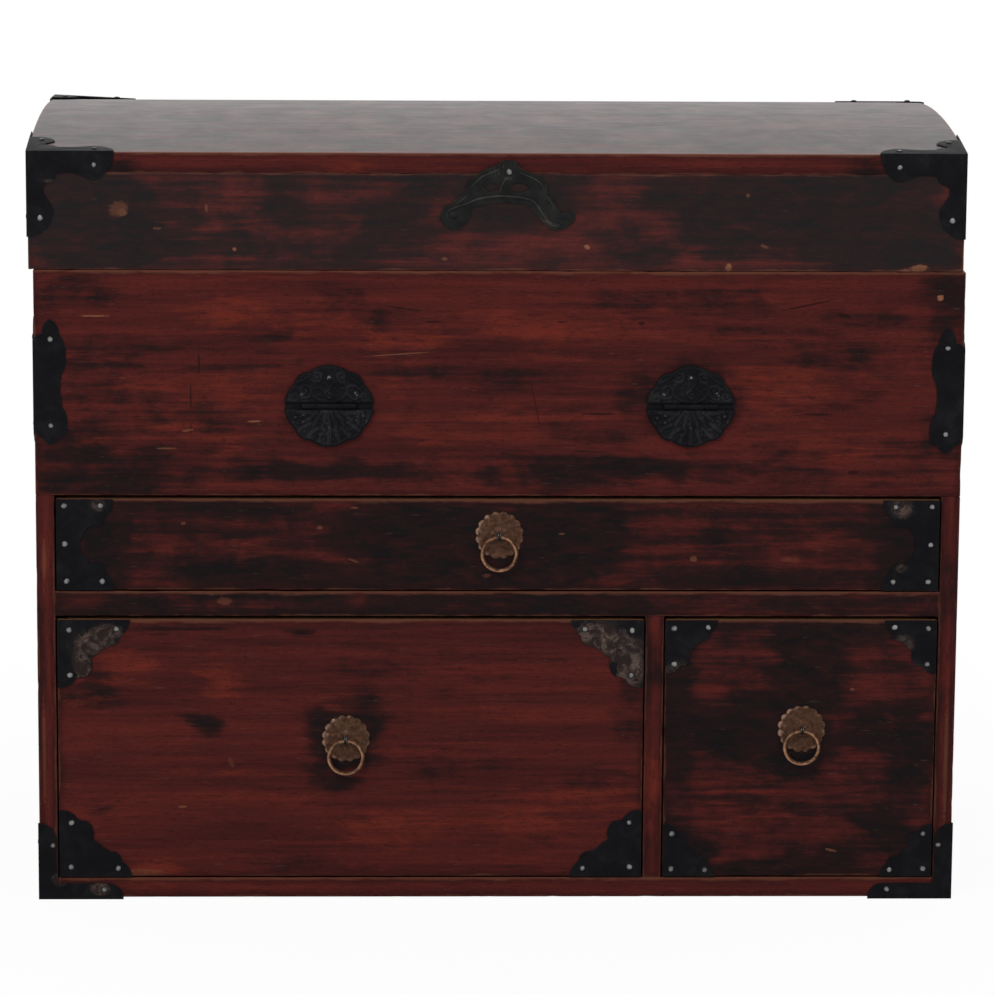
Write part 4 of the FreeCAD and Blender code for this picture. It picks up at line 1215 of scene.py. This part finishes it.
# A split pin: two flat wires side by side, looped round the ring and spread inside the drawer
def buildEye(title):
    node = f"drawer_{title}_eye"
    low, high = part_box(node)
    ringLow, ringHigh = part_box("ring_" + title)
    middle = (low + high) / 2
    centreY = (ringLow.y + ringHigh.y) / 2
    gauge = pulls["gauge"]
    loop = centreY - low.y - gauge
    inside = high.y - gauge
    route = [(0, inside, low.z - middle.z + gauge), (0, inside, -3 * gauge),
             (0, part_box(f"drawer_{title}_front")[1].y, -gauge), (0, centreY + loop, -gauge)]
    leg = smoothLine(route, 5)[:-1]
    steps = pulls["loopSteps"]
    turns = [math.radians(-30 - 300 * step / steps) for step in range(steps + 1)]
    bend = [Vector((0, centreY + loop * math.cos(a), loop * math.sin(a))) for a in turns]
    line = leg + bend + [Vector((0, p.y, -p.z)) for p in leg[::-1]]
    quarter = (high.x - low.x) / 4
    wires = []
    for side in (-1, 1):
        shift = Vector((middle.x + side * quarter, 0, middle.z))
        shape = sweep([p + shift for p in line], quarter - pulls["apart"], gauge, Vector((1, 0, 0)))
        wires.append(toObject(shape, "eyeWire", [nailFinish], smooth=True))
    piece = join(camel(node), wires)
    # painted highlight on the front and upper faces of the split pin
    highlightByNormal(piece, (0, -1, 0.6), 0.62)
    settle(piece, node)


for title in ("wide", "left", "right"):
    buildRosette(title)
    buildRing(title)
    buildEye(title)
print("ring pulls made")


# Chased work on the two halves of a round pull, in millimetres from its middle
chasing = {
    "relief": 0.0014, "drift": 1.6, "skin": 0.0002, "sunk": 0.0004, "inset": 0.0007, "split": 0.0036,
    "spokes": 200, "rows": 56, "curlWidth": 1.7, "stemWidth": 1.6, "leafWidth": 1.7, "veinWidth": 0.5,
    "curlSteps": 30, "curlShrink": 0.85,
    "rubbed": {True: 0.64, False: 1.05},           # the upper half is less rubbed than the flap
    "curls": (                                     # x, z, outer radius, turns, start in degrees, way round
        (-24, 15, 8.5, 1.5, 200, 1), (24, 15, 8.5, 1.5, -20, -1), (-12, 30, 5.5, 1.3, 240, 1),
        (12.5, 29, 5.5, 1.3, -60, -1), (-35, 9, 4.5, 1.2, 200, 1), (35, 9.5, 4.5, 1.2, -20, -1),
        (0, 11, 5, 1.1, 90, 1),
    ),
    "stems": (
        ((-8, 5), (-14, 9), (-17, 15), (-15, 22), (-9, 25)),
        ((8, 5), (14, 9), (17, 15), (15, 22), (9, 25)), ((-30, 23), (-22, 27), (-18, 33)),
        ((30, 23), (22, 27), (18, 33)), ((0, 17), (-3, 24), (0, 36)), ((0, 17), (4, 24), (1, 31)),
        ((-41, 5), (-30, 4), (-20, 5)), ((41, 5), (30, 4), (20, 5)),
    ),
    "leaves": (
        ((0, -6), (0, -20)), ((-3, -6), (-7, -22)), ((3, -6), (7, -22)), ((-7, -6), (-15, -19)),
        ((7, -6), (15, -19)), ((-12, -6), (-22, -14)), ((12, -6), (22, -14)), ((-5, -24), (-10, -34)),
        ((5, -24), (10, -34)), ((0, -24), (0, -36)), ((-12, -22), (-20, -30)), ((12, -22), (20, -30)),
        ((-19, -17), (-29, -24)), ((19, -17), (29, -24)), ((-17, -7), (-32, -6)), ((17, -7), (32, -6)),
    ),
    "knobs": (                                     # x, z, radius
        (-25, -9.5, 1.6), (-25, -16, 1.4), (33, -10, 1.7), (37, -15, 1.4), (-33, -12, 1.3),
        (27, -14, 1.3), (-9, -28, 1.3), (0, -22, 1.8), (-29, 18, 1.3), (30, 17, 1.3), (0, 27, 1.6),
    ),
}


def curlLine(x, z, radius, turns, start, way):
    steps = chasing["curlSteps"]
    line = []
    for step in range(steps + 1):
        angle = math.radians(start) + way * 2 * math.pi * turns * step / steps
        out = radius * (1 - chasing["curlShrink"] * step / steps)
        line.append((x + out * math.cos(angle), z + out * math.sin(angle)))
    return line


# Distance in millimetres from each point to a broken line
def lineGap(points, line):
    best = np.full(len(points), 1e9)
    for a, b in zip(np.array(line), np.array(line)[1:]):
        t = np.clip(((points - a) @ (b - a)) / max(1e-9, (b - a) @ (b - a)), 0, 1)
        best = np.minimum(best, np.linalg.norm(points - a - t[:, None] * (b - a), axis=1))
    return best


def chasedHeight(points, upper):
    drift = [[noise.noise(Vector((x / 7, z / 7, layer))) for layer in (3, 13)] for x, z in points]
    points = points + chasing["drift"] * np.array(drift)
    height = 0.3 + 0.6 * np.array([noise.noise(Vector((x / 3, z / 3, 5))) for x, z in points])
    if upper:
        for curl in chasing["curls"]:
            gap = lineGap(points, curlLine(*curl)) / chasing["curlWidth"]
            height = np.maximum(height, np.exp(-gap ** 2))
        for stem in chasing["stems"]:
            line = [tuple(p)[:2] for p in smoothLine([(x, z, 0) for x, z in stem], 5)]
            gap = lineGap(points, line) / chasing["stemWidth"]
            height = np.maximum(height, 0.85 * np.exp(-gap ** 2))
    else:
        for leaf in chasing["leaves"]:
            gap = lineGap(points, leaf)
            vein = 0.55 * np.exp(-(gap / chasing["veinWidth"]) ** 2)
            height = np.maximum(height, np.exp(-(gap / chasing["leafWidth"]) ** 2) - vein)
    for x, z, radius in chasing["knobs"]:
        gap = np.hypot(points[:, 0] - x, points[:, 1] - z)
        height = np.maximum(height, 1.15 * np.exp(-(gap / radius) ** 4))
    return height


# A chased skin over one half of a round pull, cut to the half's own outline
def buildChasing(name, node, left, upper):
    points = [p for p in solidsOf(node) if (p[:, 0].mean() < middleX) == left][0]
    backLow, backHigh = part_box("round_backplates")
    centreX = (points[:, 0].max() + points[:, 0].min()) / 2
    centreZ = (backLow.z + backHigh.z) / 2
    radius = (points[:, 0].max() - points[:, 0].min()) / 2
    sign = 1 if upper else -1
    offsets = (points[:, [0, 2]] - np.array([centreX, centreZ])) * np.array([1, sign])
    faceY = points[offsets[:, 1] > radius / 2][:, 1].min()
    reach = np.linalg.norm(offsets, axis=1)
    rim = reach > radius * 0.8
    angles = np.arctan2(offsets[rim, 1], offsets[rim, 0])
    order = np.argsort(angles)
    angles, reach = angles[order], reach[rim][order]
    spokes, count, split = chasing["spokes"], chasing["rows"], chasing["split"]
    start = math.asin(split / radius)
    spots = []
    for row in range(1, count + 1):
        for spoke in range(spokes + 1):
            angle = start + (math.pi - 2 * start) * spoke / spokes
            out = float(np.interp(angle, angles, reach)) - chasing["inset"]
            end = np.array([out * math.cos(angle), max(out * math.sin(angle), split)])
            spots.append(np.array([0, split]) * (1 - row / count) + end * row / count)
    spots = np.array(spots) * np.array([1, sign])
    heights = chasedHeight(spots * 1000, upper)
    shape = bmesh.new()
    rows, crowns = [], []
    for row in range(count):
        made = []
        for spoke in range(spokes + 1):
            index = row * (spokes + 1) + spoke
            fade = max(0.0, min(1.0, (count - 1 - row) / 2, spoke / 2, (spokes - spoke) / 2))
            band = math.exp(-(((count - row) / count - 0.07) / 0.025) ** 2)
            level = fade * max(heights[index], 0.6 * band)
            x, z = spots[index]
            front = faceY - chasing["skin"] - chasing["relief"] * level
            made.append(shape.verts.new((centreX + x, front, centreZ + z)))
            crowns.append(level * chasing["rubbed"][upper])
        rows.append(made)
    hub = shape.verts.new((centreX, faceY - chasing["skin"], centreZ + sign * split))
    back = [shape.verts.new((v.co.x, faceY + chasing["sunk"], v.co.z)) for v in [hub] + rows[-1]]
    crowns += [0.0] * (1 + len(back))
    fan(shape, hub, rows + [back[1:]])
    for edge in (0, spokes):
        shape.faces.new([hub] + [row[edge] for row in rows] + [back[1 + edge], back[0]])
    shape.faces.new(back)
    bmesh.ops.recalc_face_normals(shape, faces=shape.faces[:])
    piece = toObject(shape, name, [ironFinish], smooth=True)
    writeAttribute(piece.data, "crown", crowns)
    settle(piece, node, hides=False)


for side in ("left", "right"):
    buildChasing(f"{side}PullUpperChasing", "round_upper_halves", side == "left", True)
    buildChasing(f"{side}PullFlapChasing", "flap_" + side, side == "left", False)
print("round pulls chased")


# Lid ornament, in millimetres from the middle of the case and from the floor
bracket = {
    "outline": (
        (-0.3, 740.9), (-3, 737), (-16.9, 732.5), (-27.2, 725.1), (-33.4, 718.8), (-34.5, 713.6),
        (-38.6, 707.2), (-49, 699.8), (-55.1, 696.1), (-57.8, 690.4), (-59.3, 685.1), (-56.2, 678.8),
        (-49.9, 674.8), (-41.7, 674.6), (-35.5, 677.7), (-31.4, 684), (-29.3, 692), (-25.1, 696.1),
        (-14.8, 698.8), (-3, 700.4), (9, 700.6), (20.3, 699.3), (26.5, 696.7), (31.8, 691.4),
        (36.9, 685.5), (44.1, 677.7), (51.4, 673.7), (60.7, 674.6), (66.9, 678.8), (72, 685.2),
        (71.4, 690.4), (66.9, 693), (60.7, 690.8), (57.2, 691), (55.4, 695.5), (51.4, 701.9),
        (46.2, 706.1), (44.1, 711.4), (44.8, 717.7), (38.9, 723.6), (34.8, 727.2), (26.5, 730.3),
        (18.3, 734), (15.8, 738), (15.1, 740.9)),
    "openings": (((-17, 716.5), (-12, 719.6), (-5.5, 719.2), (-2, 715), (-6, 711.6), (-14, 711.6)),
                 ((8, 715.5), (12, 719.2), (20, 719.6), (26.5, 716.5), (24, 711.4), (13, 710.6))),
    "ridges": (                                    # raised lines: points, half width
        (((-46, 681), (-52, 684), (-51, 692), (-43, 696), (-34, 699), (-22, 704), (-6, 706.5), (8, 706.5),
          (24, 704.5), (33, 700), (40, 690), (48, 681), (58, 679.5), (65, 685)), 1.5),
        (((-31, 712), (-26, 719), (-18, 726), (-6, 731), (2, 736)), 1.2),
        (((41, 712), (40, 717), (33, 723), (22, 728), (14, 732)), 1.2),
        (((-1, 709), (-0.5, 714), (3, 722), (7, 725)), 1.0), (((-30, 709), (-38, 703), (-45, 699)), 0.9),
        (((44, 707), (49, 700), (52, 692)), 0.9), (((42, 686), (49, 678.5), (60, 677.5)), 1.1),
        (((2, 733), (2, 739)), 0.8), (((13, 733), (13, 739)), 0.8),
        (((-14, 722.5), (-16.5, 728)), 0.45), (((-11.5, 723.5), (-13.5, 729.5)), 0.45),
        (((-8.5, 724), (-10, 730.5)), 0.45), (((-5.5, 724.5), (-6.5, 731.5)), 0.45),
        (((-2.5, 725), (-3, 732)), 0.45),
    ),
    "knobs": ((-45.5, 687.8, 4.2), (60.5, 686.8, 3.6), (7.5, 730.5, 4.0)),
    # how far a knob's rings stand out, in millimetres, and their share of its radius
    "knobLine": ((-0.3, 1.0), (0.1, 0.98), (0.4, 0.75), (0.6, 0.45)),
    "rim": 0.0006, "sharp": 1.0, "height": 0.55, "sheetCrown": 0.12, "ridgeCrown": 0.8, "knobCrown": 0.35,
    "black": paint(21, 22, 22), "blue": paint(33, 34, 32), "ridge": paint(70, 70, 66),
    # the worn marks, on the lower edge of the right arm, on the left knob and below the top knob, are partly
    # rubbed iron and partly painted highlights
    "worn": ((44, 681.5, 8, 2.6, -25, 0.75), (-47, 689, 3, 2, 0, 0.5), (6, 724, 5, 2.5, 0, 0.3)),
}
bracketLook = dict(ironLook, black=bracket["black"], blue=bracket["blue"], ridge=bracket["ridge"])
bracketFinish = blackIron("bracketIron", bracketLook, bracket["worn"])


# The half size of a sweep at a share of its length
def sizeAt(sizes):
    return lambda share: sizes[round(share * (len(sizes) - 1))]


def buildBracket():
    low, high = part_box("lid_ornament")
    shape = bmesh.new()
    edges = []
    for loop, steps in [(bracket["outline"], 3)] + [(opening, 4) for opening in bracket["openings"]]:
        line = smoothLine([(middleX + x / 1000, high.y, z / 1000) for x, z in loop], steps, closed=True)
        verts = [shape.verts.new(p) for p in line]
        edges += [shape.edges.new((a, b)) for a, b in zip(verts, verts[1:] + verts[:1])]
    bmesh.ops.triangle_fill(shape, edges=edges, use_beauty=True, use_dissolve=False)
    drawOut(shape, shape.faces[:], (0, low.y - high.y, 0))
    roundEdges(shape, bracket["rim"], 2, 1, bracket["sharp"])
    pieces = [toObject(shape, "bracketSheet", [bracketFinish, rimFinish])]
    writeAttribute(pieces[0].data, "crown", bracket["sheetCrown"])
    for points, half in bracket["ridges"]:
        line = smoothLine([(middleX + x / 1000, low.y, z / 1000) for x, z in points], 5)
        last = len(line) - 1
        widths = [half / 1000 * (0.35 + 0.65 * math.sin(math.pi * i / last) ** 0.5) for i in range(last + 1)]
        heights = [bracket["height"] * width for width in widths]
        shape = sweep(line, sizeAt(heights), sizeAt(widths), Vector((0, 1, 0)), 8)
        ridge = toObject(shape, "ridge", [bracketFinish, rimFinish], smooth=True)
        rise = (low.y - pointsOf(ridge.data)[:, 1]) / (bracket["height"] * half / 1000)
        writeAttribute(ridge.data, "crown", np.clip(rise, 0, 1) * bracket["ridgeCrown"])
        pieces.append(ridge)
    for x, z, radius in bracket["knobs"]:
        line = [Vector((middleX + x / 1000, low.y - out / 1000, z / 1000))
                for out, part in bracket["knobLine"]]
        width = sizeAt([radius / 1000 * part for out, part in bracket["knobLine"]])
        shape = sweep(line, width, width, Vector((1, 0, 0)), 20)
        knob = toObject(shape, "knob", [bracketFinish, rimFinish], smooth=True)
        writeAttribute(knob.data, "crown", bracket["knobCrown"])
        pieces.append(knob)
    settle(join("lidOrnament", pieces), "lid_ornament")


buildBracket()
print("ornament made")

# Pieces kept from the CAD
for node in ("hinge_lower_leaves", "hinge_upper_leaves", "hinge_pins", "round_backplates", "round_pins",
             "round_upper_halves", "flap_left", "flap_right"):
    for slot in frame["nodes"][node].material_slots:
        slot.material = rimFinish if node == "hinge_pins" else ironFinish

print("pieces settled")
